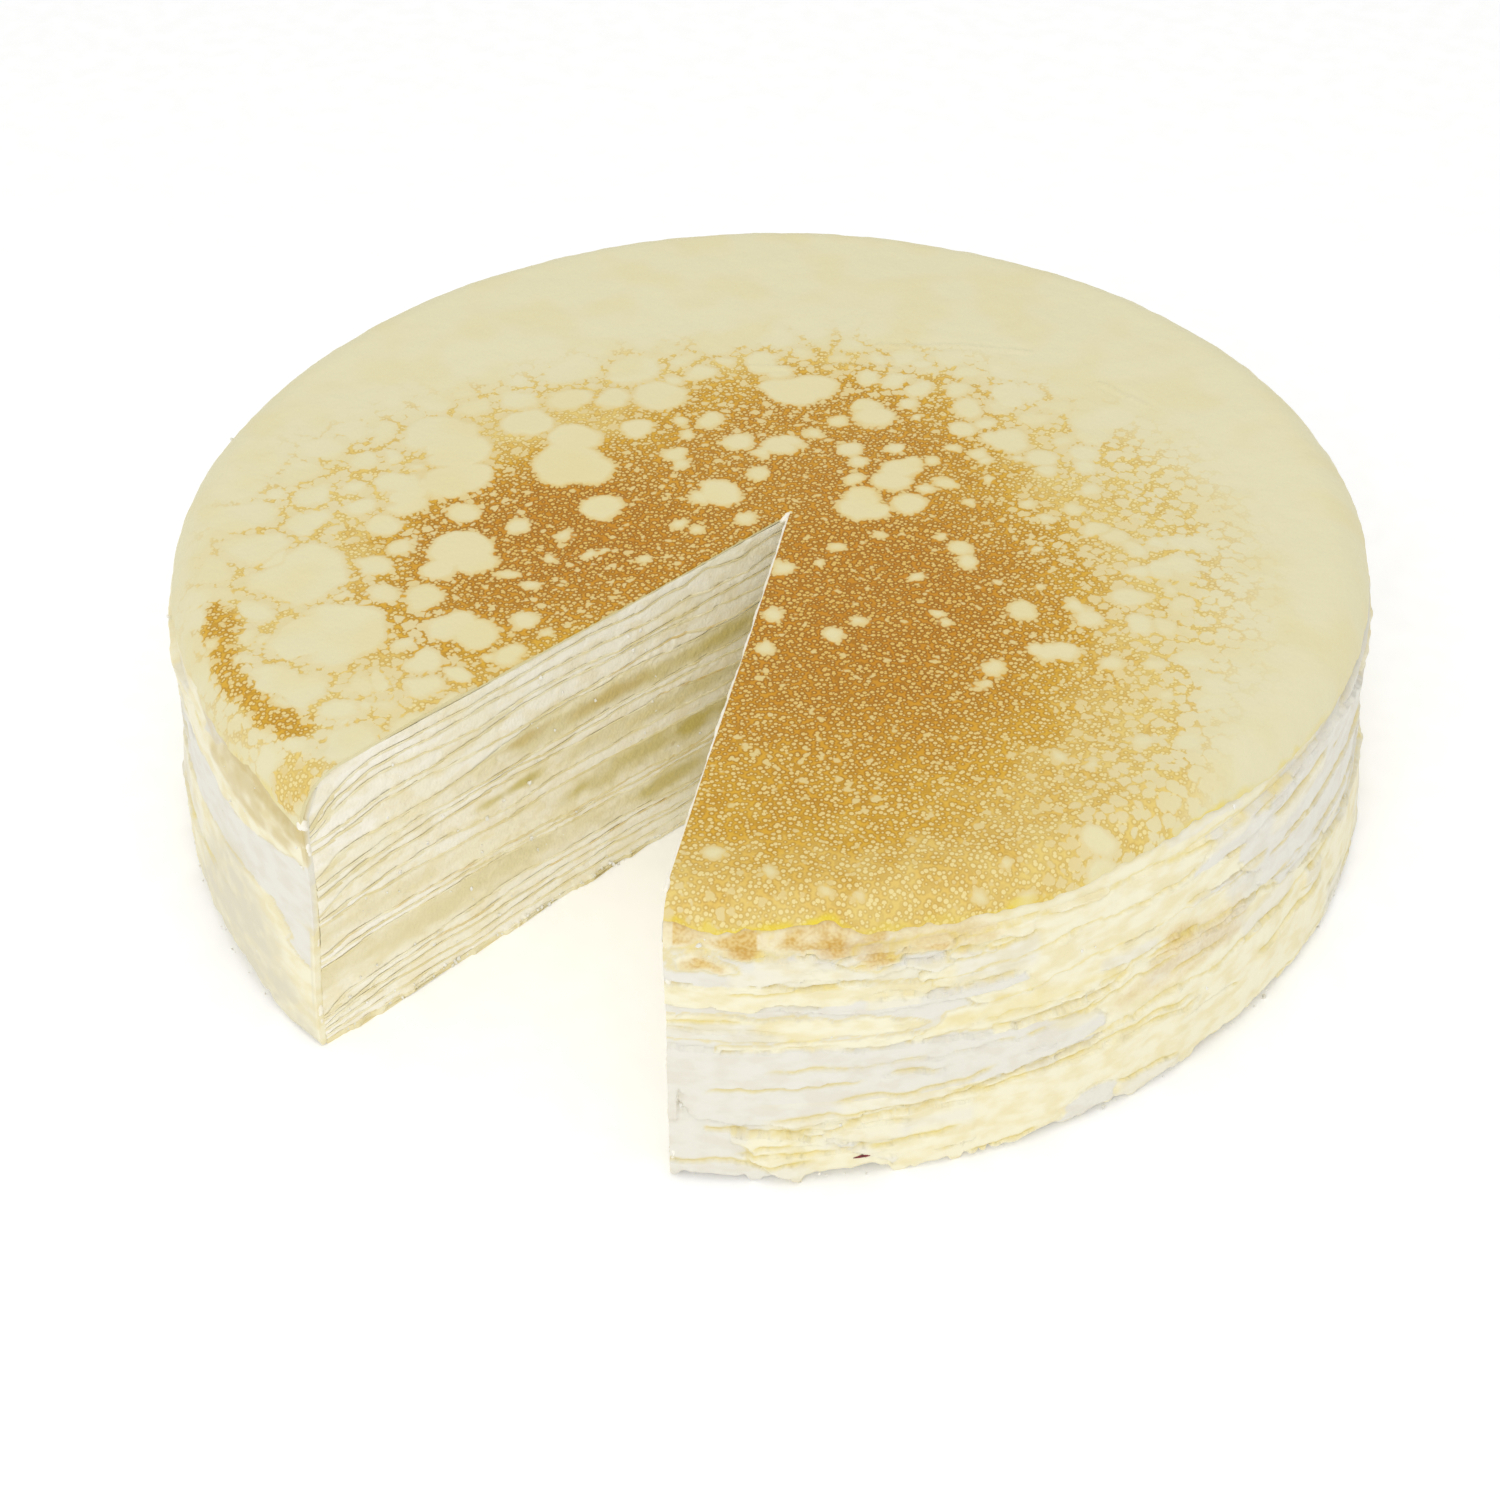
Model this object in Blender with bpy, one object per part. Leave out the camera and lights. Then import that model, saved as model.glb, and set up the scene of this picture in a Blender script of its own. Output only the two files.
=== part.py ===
# A mille crepe cake with a tenth of it cut away: thin crepes stacked with cream and four bands of
# fruit custard, under a browned top crepe that drapes over the rounded rim.
# Metres, +Z up. The origin is on the underside, on the axis of the round cake, and the missing
# slice opens towards -Y. Run it with blender --background --python part.py.
import math

import bmesh
import bpy

# The round cake
RADIUS = 0.105
TOP_CREPE = 0.0008
CREPE = 0.0006
GAP = 0.0003
RIM_ROUND = 0.0087

# Each filling from the top down, with its thickness at the middle of the cake in millimetres.
# A crepe lies above the first, between each two and below the last.
FILLINGS = (
    ("cream", 1.3),
    ("cream", 2.0),
    ("cream", 1.9),
    ("cream", 0.4),
    ("cream", 1.1),
    ("cream", 0.4),
    ("fruit", 4.6),
    ("cream", 0.4),
    ("cream", 0.6),
    ("fruit", 2.9),
    ("cream", 1.5),
    ("fruit", 4.9),
    ("cream", 0.4),
    ("cream", 0.5),
    ("fruit", 4.3),
    ("cream", 0.4),
    ("cream", 0.7),
    ("cream", 0.5),
    ("cream", 0.8),
    ("cream", 1.1),
)
MILLIMETRE = 0.001

# Fillings thin towards the rim, so the upper layers sag there
BEND_FROM = 0.915  # share of the way from the cut's point to the rim
RIM_FILLING = 0.82  # share of the middle thickness that is left at the rim

# Crepes whose edges hang down the outside: how far inside the rim each one turns down, how far
# above the base its edge ends, and how far out that edge stands from where it turned down
TOP_SKIRT_END = 0.0472
HANGING = {
    "crepe_01": {"inside": TOP_CREPE + GAP, "end": 0.0402, "foot": 0.0006},
    "crepe_09": {"inside": 0.0, "end": 0.0014, "foot": 0.0042},
}
HEM_WAVE = 0.0008

# The missing slice: where both cuts meet, and the directions of the cuts from there
CUT_POINT = (0.0052, -0.0014)
SLICE_ANGLE = math.radians(35.6)
CUT_START = math.radians(-90) + SLICE_ANGLE / 2
CUT_SWEEP = math.radians(360) - SLICE_ANGLE
COLUMNS = 28

# Unevenness: how far a layer dips between its high places, and how ragged its outer edge is
DIP = 0.0005
DIP_FULL_AT = 0.012
RAGGED = 0.0011

# colour, roughness
FINISHES = {
    "top_crepe": ((0.55, 0.27, 0.06, 1.0), 0.55),
    "crepe": ((0.80, 0.70, 0.42, 1.0), 0.6),
    "cream": ((0.86, 0.83, 0.72, 1.0), 0.5),
    "fruit": ((0.76, 0.66, 0.38, 1.0), 0.45),
}


def clear_scene():
    for thing in list(bpy.data.objects):
        bpy.data.objects.remove(thing)


def material_for(name, finish):
    """A plain material of one of the FINISHES for the sub-part called name."""
    colour, roughness = FINISHES[finish]
    material = bpy.data.materials.new(name)
    material.use_nodes = True
    shader = material.node_tree.nodes["Principled BSDF"]
    shader.inputs["Base Color"].default_value = colour
    shader.inputs["Roughness"].default_value = roughness
    shader.inputs["Metallic"].default_value = 0.0
    return material


def stack():
    """Every layer from the base up: name, kind, and the heights of its underside and top, first at
    the middle of the cake and then at the rim."""
    layers = [("top_crepe", "top_crepe", TOP_CREPE)]
    for number, (kind, thickness) in enumerate(FILLINGS, start=1):
        layers.append((f"{kind}_{number:02d}", kind, thickness * MILLIMETRE))
        layers.append((f"crepe_{number:02d}", "crepe", CREPE))
    placed = []
    middle = rim = 0.0
    for name, kind, thickness in reversed(layers):
        at_rim = thickness * (RIM_FILLING if kind in ("cream", "fruit") else 1.0)
        placed.append((name, kind, (middle, middle + thickness), (rim, rim + at_rim)))
        middle += thickness + GAP
        rim += at_rim + GAP
    return placed


def reach(angle, radius):
    """Distance from the cut's point, in a direction, to the circle of a radius about the axis."""
    along = CUT_POINT[0] * math.cos(angle) + CUT_POINT[1] * math.sin(angle)
    square = CUT_POINT[0] ** 2 + CUT_POINT[1] ** 2
    return math.sqrt(radius**2 - square + along**2) - along


def dip(angle, height):
    """How far a level sags in a direction. It is nothing at the base, so that the cake stands flat."""
    waves = 0.5 * math.sin(3 * angle + 0.4) + 0.5 * math.sin(7 * angle + 2.0)
    return DIP * (0.5 + 0.5 * waves) * min(height / DIP_FULL_AT, 1.0)


def ragged(angle, number):
    """How far a layer's edge stands back from the side, different for each layer."""
    waves = math.sin(5 * angle + 1.7 * number) + math.sin(11 * angle + 2.9 * number)
    return RAGGED * (0.5 + 0.25 * waves)


def hem(angle, number):
    """The wave of a hanging edge, up and down."""
    return HEM_WAVE * (math.sin(4 * angle + number) + 0.5 * math.sin(9 * angle + 2 * number))


def level_at(angle, middle, rim, distance):
    """Height of a level at a distance from the cut's point: flat to the bend, then down to the rim."""
    bend = BEND_FROM * reach(angle, RADIUS)
    share = max(0.0, (distance - bend) / (reach(angle, RADIUS) - bend))
    return middle + (rim - middle) * share - dip(angle, middle)


def side_radius(height):
    """Where a layer at a height ends: at the side, or inside the edge that hangs outside it, which
    stands further out the lower it is."""
    for name, _, _, (_, top) in LAYERS:
        if name not in HANGING:
            continue
        hang = HANGING[name]
        if hang["end"] - 2 * HEM_WAVE < height < top:
            down = (top - height) / (top - hang["end"])
            return RADIUS - hang["inside"] + hang["foot"] * min(down, 1.0) - CREPE - GAP
    return RADIUS - (TOP_CREPE + GAP if height > TOP_SKIRT_END - 2 * HEM_WAVE else 0.0)


def rim_round_limit(height):
    """Largest radius that fits under the rounded rim of the top crepe at a height."""
    centre = LAYERS[-1][2][1] - RIM_ROUND
    inner = RIM_ROUND - TOP_CREPE - 2 * GAP
    above = max(0.0, height - centre)
    return RADIUS - RIM_ROUND + math.sqrt(max(0.0, inner**2 - above**2))


def plain_profile(angle, number, layer):
    """A layer's outline in one direction, as (distance, height): out along the top, then back."""
    _, _, (low, high), (rim_low, rim_high) = layer
    radius = min(side_radius(rim_high), rim_round_limit(rim_high))
    edge = reach(angle, radius - ragged(angle, number))
    bend = BEND_FROM * reach(angle, RADIUS)
    top = [(d, level_at(angle, high, rim_high, d)) for d in (bend, edge)]
    under = [(d, level_at(angle, low, rim_low, d)) for d in (edge, bend)]
    return top + under


def hanging_profile(angle, number, layer):
    """As plain_profile, for a crepe whose edge turns down and hangs outside the layers below."""
    name, _, (low, high), (rim_low, rim_high) = layer
    end = HANGING[name]["end"] + hem(angle, number)
    shoulder = RADIUS - HANGING[name]["inside"]
    outer = reach(angle, shoulder)
    foot = reach(angle, shoulder + HANGING[name]["foot"])
    bend = BEND_FROM * reach(angle, RADIUS)
    turn = level_at(angle, high, rim_high, outer)
    inner_turn = level_at(angle, low, rim_low, outer - CREPE)
    top = [(bend, level_at(angle, high, rim_high, bend)), (outer, turn), (foot, end)]
    under = [
        (foot - CREPE, end),
        (outer - CREPE, inner_turn),
        (bend, level_at(angle, low, rim_low, bend)),
    ]
    return top + under


def top_profile(angle, number, layer):
    """As plain_profile, for the top crepe: flat, over the rounded rim, and a short skirt."""
    _, _, (low, high), _ = layer
    end = TOP_SKIRT_END + hem(angle, number)
    centre = reach(angle, RADIUS) - RIM_ROUND
    steps = [math.radians(step) for step in (90, 62, 40, 20)]
    sag = [dip(angle, high), dip(angle, high) / 2, 0.0, 0.0]

    def curve(radius):
        return [
            (centre + radius * math.cos(a), high - RIM_ROUND + radius * math.sin(a) - s)
            for a, s in zip(steps, sag)
        ]

    outer = curve(RIM_ROUND)
    inner = curve(RIM_ROUND - TOP_CREPE)
    lowest = centre + RIM_ROUND
    return outer + [(lowest, end), (lowest - TOP_CREPE, end)] + inner[::-1]


def skin_columns(name, low, high, profile):
    """One closed mesh from a profile in each direction, all of which start and end above the cut's
    point. Strips of triangles join neighbouring profiles, and a fan closes each cut face."""
    shape = bmesh.new()
    top_point = shape.verts.new((*CUT_POINT, high))
    low_point = shape.verts.new((*CUT_POINT, low))
    columns = []
    for step in range(COLUMNS + 1):
        angle = CUT_START + CUT_SWEEP * step / COLUMNS
        along, across = math.cos(angle), math.sin(angle)
        columns.append(
            [
                shape.verts.new((CUT_POINT[0] + d * along, CUT_POINT[1] + d * across, z))
                for d, z in profile(angle)
            ]
        )
    for first, second in zip(columns, columns[1:]):
        shape.faces.new((top_point, first[0], second[0]))
        shape.faces.new((low_point, second[-1], first[-1]))
        for row in range(len(first) - 1):
            shape.faces.new((first[row], first[row + 1], second[row + 1]))
            shape.faces.new((first[row], second[row + 1], second[row]))
    for column, turn in ((columns[0], -1), (columns[-1], 1)):
        face = shape.faces.new([low_point, top_point, *column][::turn])
        bmesh.ops.triangulate(shape, faces=[face], ngon_method="BEAUTY")
    bmesh.ops.recalc_face_normals(shape, faces=shape.faces)
    mesh = bpy.data.meshes.new(name)
    shape.to_mesh(mesh)
    shape.free()
    return mesh


def add_layer(number, layer):
    """One layer of the cake as an object with its own material."""
    name, kind, (low, high), _ = layer
    shapes = {"top_crepe": top_profile}
    make = hanging_profile if name in HANGING else shapes.get(kind, plain_profile)
    mesh = skin_columns(name, low, high, lambda angle: make(angle, number, layer))
    mesh.materials.append(material_for(name, kind))
    mesh.shade_smooth()
    mesh.set_sharp_from_angle(angle=math.radians(30))
    thing = bpy.data.objects.new(name, mesh)
    bpy.context.scene.collection.objects.link(thing)


LAYERS = stack()
clear_scene()
for index, one_layer in enumerate(LAYERS):
    add_layer(index, one_layer)
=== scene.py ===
# Mille crepe cake, 21 cm across and 55 mm high, with a slice cut out
# The stack is thin crepes with whipped cream and fruit custard, and a browned crepe drapes over the top
# Lengths are in millimetres until a mesh is made

import functools
import math

import bmesh
import bpy
import numpy as np
from mathutils import Matrix, Vector


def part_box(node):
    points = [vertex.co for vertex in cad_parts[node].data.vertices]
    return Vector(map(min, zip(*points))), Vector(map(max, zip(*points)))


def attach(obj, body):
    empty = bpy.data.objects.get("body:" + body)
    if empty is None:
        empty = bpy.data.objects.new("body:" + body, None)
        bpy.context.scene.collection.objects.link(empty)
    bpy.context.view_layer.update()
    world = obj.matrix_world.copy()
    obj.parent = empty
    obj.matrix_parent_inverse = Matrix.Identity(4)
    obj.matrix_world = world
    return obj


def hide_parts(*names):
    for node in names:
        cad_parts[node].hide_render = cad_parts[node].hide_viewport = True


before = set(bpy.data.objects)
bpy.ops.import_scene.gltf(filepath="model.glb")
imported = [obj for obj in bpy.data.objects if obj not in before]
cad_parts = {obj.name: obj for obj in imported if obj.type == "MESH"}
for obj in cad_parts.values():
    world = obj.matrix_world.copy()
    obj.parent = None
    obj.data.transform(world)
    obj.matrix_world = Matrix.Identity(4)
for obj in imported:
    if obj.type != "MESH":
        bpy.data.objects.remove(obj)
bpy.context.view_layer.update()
mm = 0.001

cake = {
    "radius": 105.0,
    "level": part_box("top_crepe")[1][2] / mm - 0.82,
    "cutPoint": (5.2, -1.4),
    "firstCut": 252.2,      # degrees, direction of the cut face that shows
    "secondCut": 287.8,
    "cutLength": 104.0,     # from the cut's point to the rim, as the paths of the crepes count it
    "rimRound": 8.7,
    "skin": 0.7,
    "crepe": 0.42,
    "crepes": 20,           # under the top one
    "coat": 1.4,            # wall of cream and torn crepe round the side
    "flare": 2.9,           # how much further out the side stands at its foot
    "widest": 108.75,
    "viewTurn": 29.4,       # degrees from the top's drawing to the cake's own axes
}
print("frame loaded, top at", round(cake["level"], 2), "mm")


def ease(low, high, x):
    # rises smoothly from 0 at low to 1 at high
    share = np.clip((x - low) / (high - low), 0.0, 1.0)
    return share * share * (3.0 - 2.0 * share)


def bell(x, width):
    # 1 where x is 0, falling away on both sides as the exponential of minus its square
    return np.exp(-(x / width) ** 2)


def latticeValue(column, row, seed):
    # a repeatable number from -1 to 1 for each whole-number place
    mixed = (column * 374761393 + row * 668265263 + seed * 974634777) & 0xFFFFFFFF
    mixed = ((mixed ^ (mixed >> 13)) * 1274126177) & 0xFFFFFFFF
    return ((mixed ^ (mixed >> 16)) & 0xFFFF) / 32767.5 - 1.0


def softNoise(x, y, size, seed):
    # lattice values one size apart, blended with quintic weights
    x, y = np.broadcast_arrays(np.asarray(x, float) / size, np.asarray(y, float) / size)
    column, row = np.floor(x).astype(np.int64), np.floor(y).astype(np.int64)
    u, v = x - column, y - row
    u, v = u ** 3 * (u * (6 * u - 15) + 10), v ** 3 * (v * (6 * v - 15) + 10)
    near = latticeValue(column, row, seed) * (1 - u) + latticeValue(column + 1, row, seed) * u
    far = latticeValue(column, row + 1, seed) * (1 - u) + latticeValue(column + 1, row + 1, seed) * u
    return near * (1 - v) + far * v


def roughNoise(x, y, size, seed, octaves=4):
    # soft noise added at ever smaller sizes, each half as strong
    total = sum(softNoise(x, y, size / 2 ** k, seed + 17 * k) / 2 ** k for k in range(octaves))
    return total / 1.5


def pathHeight(points, x, blur):
    # straight lines through the points, averaged over a bell curve of width blur
    known = np.array(sorted(points))
    offsets = np.linspace(-2.0, 2.0, 9)
    weights = bell(offsets, 1.0)
    values = [np.interp(x + offset * blur, known[:, 0], known[:, 1]) for offset in offsets]
    return np.tensordot(weights / weights.sum(), np.array(values), 1)


def heading(degrees):
    # unit directions: the cosine and the sine of each azimuth
    angle = np.radians(degrees)
    return np.stack([np.cos(angle), np.sin(angle)], axis=-1)


def numbered(rows, columns):
    # the vertex numbers of a grid, row after row
    return np.arange(rows * columns).reshape(rows, columns)


def gridFaces(ids, roundRows=False, roundColumns=False):
    # four-sided faces between neighbouring rows and columns of vertex numbers
    if roundRows:
        ids = np.vstack([ids, ids[:1]])
    if roundColumns:
        ids = np.hstack([ids, ids[:, :1]])
    return np.stack([ids[:-1, :-1], ids[:-1, 1:], ids[1:, 1:], ids[1:, :-1]], axis=-1).reshape(-1, 4)


def fanFaces(pole, ring):
    # triangles from one vertex to each step of a closed ring
    return np.stack([ring, np.roll(ring, -1), np.full_like(ring, pole)], axis=-1)


def tubeFaces(ids):
    # rings joined into a tube with a fan over each end; the two poles are numbered after the rings
    ends = [fanFaces(ids.size, ids[0])[:, ::-1], fanFaces(ids.size + 1, ids[-1])]
    return [gridFaces(ids, roundColumns=True)] + ends


def zipFaces(longChain, shortChain):
    # triangles that close the strip between two chains, each long step served by its nearest short vertex
    steps = len(longChain) - 1
    partner = np.rint((np.arange(steps) + 0.5) / steps * (len(shortChain) - 1)).astype(int)
    change = np.searchsorted(partner, np.arange(1, len(shortChain)))
    longSide = np.stack([longChain[:-1], longChain[1:], shortChain[partner]], axis=-1)
    shortSide = np.stack([shortChain[1:], shortChain[:-1], longChain[change]], axis=-1)
    return np.vstack([longSide, shortSide])


def makePiece(name, points, faces, material, nodes=(), paint=None, recalculate=False):
    # a mesh from points in millimetres and tables of faces, turned to face outwards
    mesh = bpy.data.meshes.new(name)
    corners = np.concatenate([table.ravel() for table in faces])
    sizes = np.concatenate([np.full(len(table), table.shape[1]) for table in faces])
    starts = np.concatenate([[0], np.cumsum(sizes)[:-1]])
    mesh.vertices.add(len(points))
    mesh.vertices.foreach_set("co", (points * mm).ravel())
    mesh.loops.add(len(corners))
    mesh.loops.foreach_set("vertex_index", corners.astype(np.int32))
    mesh.polygons.add(len(sizes))
    mesh.polygons.foreach_set("loop_start", starts.astype(np.int32))
    mesh.update(calc_edges=True)
    if recalculate:
        work = bmesh.new()
        work.from_mesh(mesh)
        bmesh.ops.recalc_face_normals(work, faces=work.faces[:])
        work.to_mesh(mesh)
        work.free()
    elif enclosedVolume(points, faces) < 0:
        mesh.flip_normals()
    mesh.shade_smooth()
    mesh.set_sharp_from_angle(angle=math.radians(58))
    for key, values in (paint or {}).items():
        kind, field = ("FLOAT", "value") if values.size == len(points) else ("FLOAT_VECTOR", "vector")
        mesh.attributes.new(key, kind, "POINT").data.foreach_set(field, values.ravel().astype(np.float32))
    mesh.materials.append(material)
    piece = bpy.data.objects.new(name, mesh)
    bpy.context.scene.collection.objects.link(piece)
    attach(piece, "root")
    if nodes:
        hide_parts(*nodes)
    return piece


def enclosedVolume(points, faces):
    # six times the volume: the triple products of every face's triangles, negative when it is inside out
    total = 0.0
    for table in faces:
        for k in range(1, table.shape[1] - 1):
            a, b, c = points[table[:, 0]], points[table[:, k]], points[table[:, k + 1]]
            total += np.einsum("ij,ij->", a, np.cross(b, c))
    return total


def makeTube(name, rings, material):
    # a tube through the rings, each end closed at the middle of its ring
    poles = [rings[0].mean(0), rings[-1].mean(0)]
    faces = tubeFaces(numbered(*rings.shape[:2]))
    return makePiece(name, np.vstack([rings.reshape(-1, 3), poles]), faces, material)


def feed(node, inputs):
    # gives each input a number, a colour or another node's output
    for key, value in inputs.items():
        if isinstance(value, bpy.types.NodeSocket):
            node.id_data.links.new(value, node.inputs[key])
        else:
            node.inputs[key].default_value = value


def addNode(tree, kind, settings, inputs, output=0):
    # adds a node with its own settings and its inputs fed, and gives back one output, or the node itself
    node = tree.nodes.new("ShaderNode" + kind)
    for key, value in settings.items():
        setattr(node, key, value)
    feed(node, inputs)
    return node if output is None else node.outputs[output]


def linear(hexColour):
    # sRGB hex to linear numbers
    parts = [int(hexColour[k:k + 2], 16) / 255 for k in (1, 3, 5)]
    return tuple(p / 12.92 if p <= 0.04045 else ((p + 0.055) / 1.055) ** 2.4 for p in parts) + (1.0,)


def newMaterial(name):
    # a material with its shader, and places on the object in millimetres
    material = bpy.data.materials.new(name)
    material.use_nodes = True
    tree = material.node_tree
    add = functools.partial(addNode, tree)
    place = add("TexCoord", {}, {}, "Object")
    place = add("VectorMath", {"operation": "SCALE"}, {0: place, "Scale": 1 / mm})
    return material, add, tree.nodes["Principled BSDF"], place


colourMix = {"data_type": "RGBA"}                      # inputs 0 the share, 6 and 7 the colours; output 2
smoothStep = {"interpolation_type": "SMOOTHSTEP"}      # inputs 0 value, 1 and 2 the limits it rises between
less, plus, times, timesPlus, larger = (
    {"operation": name} for name in ("SUBTRACT", "ADD", "MULTIPLY", "MULTIPLY_ADD", "MAXIMUM"))

# The top crepe: batter set against a hot pan, browned where it touched and pale where bubbles held it off
skinFinish = {
    "pale": "#e6dfb8", "paleWarm": "#e5d8a2", "near": "#e8d694", "halo": "#ddbb62",
    # the scorched colour also paints shade in the dark rims round the pin dots
    "tones": ("#e6cb76", "#dcad36", "#d39922", "#ca8a18"), "scorchedAndShade": "#7f4a00",
    "bubble": "#eedc9a", "bubbleDeep": "#e3bd62", "yolk": "#ead139",
    "pin": 0.95, "bubbleCell": 2.3,      # spacing in mm of the pin holes and of the bubbles
}


def skinMaterial():
    # foam of small bubbles in brown batter: it gives the eye a grainy toasted disc that breaks up into lace
    material, add, shader, _ = newMaterial("browned crepe, griddled batter")
    finish = {key: linear(value) for key, value in skinFinish.items() if isinstance(value, str)}
    tones = [linear(tone) for tone in skinFinish["tones"]]
    laid = add("Attribute", {"attribute_name": "laid"}, {}, "Vector")
    browning, depth, hole, yolk = (add("Attribute", {"attribute_name": key}, {}, "Fac")
                                   for key in ("browning", "depth", "hole", "yolk"))
    noise, voronoi = {"noise_dimensions": "2D"}, {"voronoi_dimensions": "2D"}
    drift = add("TexNoise", noise, {"Vector": laid, "Scale": 1 / 1.6, "Detail": 1.0}, None)
    away = {0: drift.outputs["Color"], 1: (1.1, 1.1, 0.0), 2: (-0.55, -0.55, 0.0)}
    away = add("VectorMath", timesPlus, away)
    bent = add("VectorMath", plus, {0: laid, 1: away})
    drifting = drift.outputs[0]

    # pins are dots in small cells, bubbles are larger ones in bent cells
    cells = add("TexVoronoi", voronoi, {"Vector": laid, "Scale": 1 / skinFinish["pin"]}, None)
    pick = add("SeparateColor", {}, {0: cells.outputs["Color"]})
    pinRadius = add("MapRange", {}, {0: pick, 3: 0.14, 4: 0.42})
    pinGap = add("Math", less, {0: pinRadius, 1: cells.outputs[0]})
    pins = add("MapRange", smoothStep, {0: pinGap, 1: -0.10, 2: 0.12})
    large = add("TexVoronoi", voronoi, {"Vector": bent, "Scale": 1 / skinFinish["bubbleCell"]}, None)
    pick = add("SeparateColor", {}, {0: large.outputs["Color"]})
    pick = add("Math", times, {0: pick, 1: pick})
    bubbleRadius = add("Math", times, {0: pick, 1: 0.75})
    reach = add("Math", times, {0: large.outputs[0], 1: skinFinish["bubbleCell"]})
    bubbleGap = add("Math", less, {0: bubbleRadius, 1: reach})

    # the share left pale sets how far the bubbles spread, and the cells scallop the edges of the islands
    bare = add("Math", {"operation": "SUBTRACT", "use_clamp": True}, {0: 1.0, 1: browning})
    bare = add("Math", {"operation": "SQRT"}, {0: bare})
    spread = add("MapRange", {}, {0: bare, 1: 0.2, 2: 1.0, 3: -0.15, 4: 1.15})
    scallop = add("MapRange", {"clamp": False}, {0: cells.outputs[0], 1: 0.0, 2: 0.8, 3: 0.40, 4: -0.40})
    bubbleGap = add("Math", plus, {0: bubbleGap, 1: add("Math", times, {0: scallop, 1: 0.25})})
    bubbleGap = add("Math", plus, {0: bubbleGap, 1: spread})
    bubbles = add("MapRange", smoothStep, {0: bubbleGap, 1: -0.14, 2: 0.28})
    frayed = add("Math", plus, {0: hole, 1: add("Math", timesPlus, {0: drifting, 1: 0.7, 2: -0.30})})
    island = add("Math", plus, {0: frayed, 1: scallop})
    island = add("MapRange", smoothStep, {0: island, 1: -0.22, 2: 0.42})
    kept = add("Math", less, {0: 1.0, 1: add("Math", larger, {0: island, 1: bubbles})})
    cooked = add("MapRange", smoothStep, {0: browning, 1: -0.02, 2: 0.24})
    cooked = add("Math", times, {0: kept, 1: cooked})

    # browned batter, from golden to deep, with scorched specks, and dark rims round the pins that are partly
    # scorched batter and partly painted shade beside the raised dots
    ramp = add("ValToRGB", {}, {0: depth}, None)
    stops = ramp.color_ramp.elements
    stops[0].color, stops[1].color = tones[0], tones[3]
    stops.new(0.3).color = tones[1]
    stops.new(0.65).color = tones[2]
    speck = add("MapRange", smoothStep, {0: drifting, 1: 0.50, 2: 0.66, 4: 0.40})
    # the dark ring just outside each pin dot: partly scorched batter, partly painted shade of the raised dot
    rim = add("MapRange", smoothStep, {0: pinGap, 1: -0.45, 2: -0.08, 4: 0.68})
    dark = add("Math", larger, {0: speck, 1: rim})
    dark = add("Math", times, {0: dark, 1: add("MapRange", smoothStep, {0: depth, 1: -0.6, 2: 1.0})})
    brown = add("Mix", colourMix, {0: dark, 6: ramp.outputs[0], 7: finish["scorchedAndShade"]}, 2)
    dot = add("Mix", colourMix, {0: depth, 6: finish["bubble"], 7: finish["bubbleDeep"]}, 2)
    brown = add("Mix", colourMix, {0: add("Math", times, {0: pins, 1: 0.95}), 6: brown, 7: dot}, 2)

    # pale batter, warmer in patches and near the browning, with a golden halo just inside each island
    lumps = add("TexNoise", noise, {"Vector": laid, "Scale": 1 / 14.0, "Detail": 1.0})
    patchy = add("MapRange", smoothStep, {0: lumps, 1: 0.42, 2: 0.68, 4: 0.4})
    pale = add("Mix", colourMix, {0: patchy, 6: finish["pale"], 7: finish["paleWarm"]}, 2)
    near = add("Math", times, {0: browning, 1: 0.45})
    pale = add("Mix", colourMix, {0: near, 6: pale, 7: finish["near"]}, 2)
    halo = add("MapRange", smoothStep, {0: frayed, 1: 0.1, 2: 1.5, 3: 0.62, 4: 0.0})
    halo = add("Math", times, {0: halo, 1: browning})
    pale = add("Mix", colourMix, {0: halo, 6: pale, 7: finish["halo"]}, 2)
    colour = add("Mix", colourMix, {0: cooked, 6: pale, 7: brown}, 2)
    colour = add("Mix", colourMix, {0: yolk, 6: colour, 7: finish["yolk"]}, 2)
    bump = add("Bump", {}, {"Height": cells.outputs[0], "Strength": 0.35, "Distance": -0.00016})
    feed(shader, {"Base Color": colour, "Roughness": 0.5, "Specular IOR Level": 0.28, "Normal": bump})
    return material


# the yellow colour paints shade lines on the side, the dull one the shade of the left skirt, and the bruise
# colour both bruised fruit and shade under the top crepe's overhang
doughFinish = {
    "line": "#e4d7a4", "crepe": "#f5efd2", "crepeDeep": "#eee3b8", "toast": "#e4c883", "toastDeep": "#d3aa55",
    "yolk": "#e9d25c", "ripe": "#cfbf70", "bruise": "#cdb774", "grainy": "#e4d9ac", "dull": "#dfd8c0",
}


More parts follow.
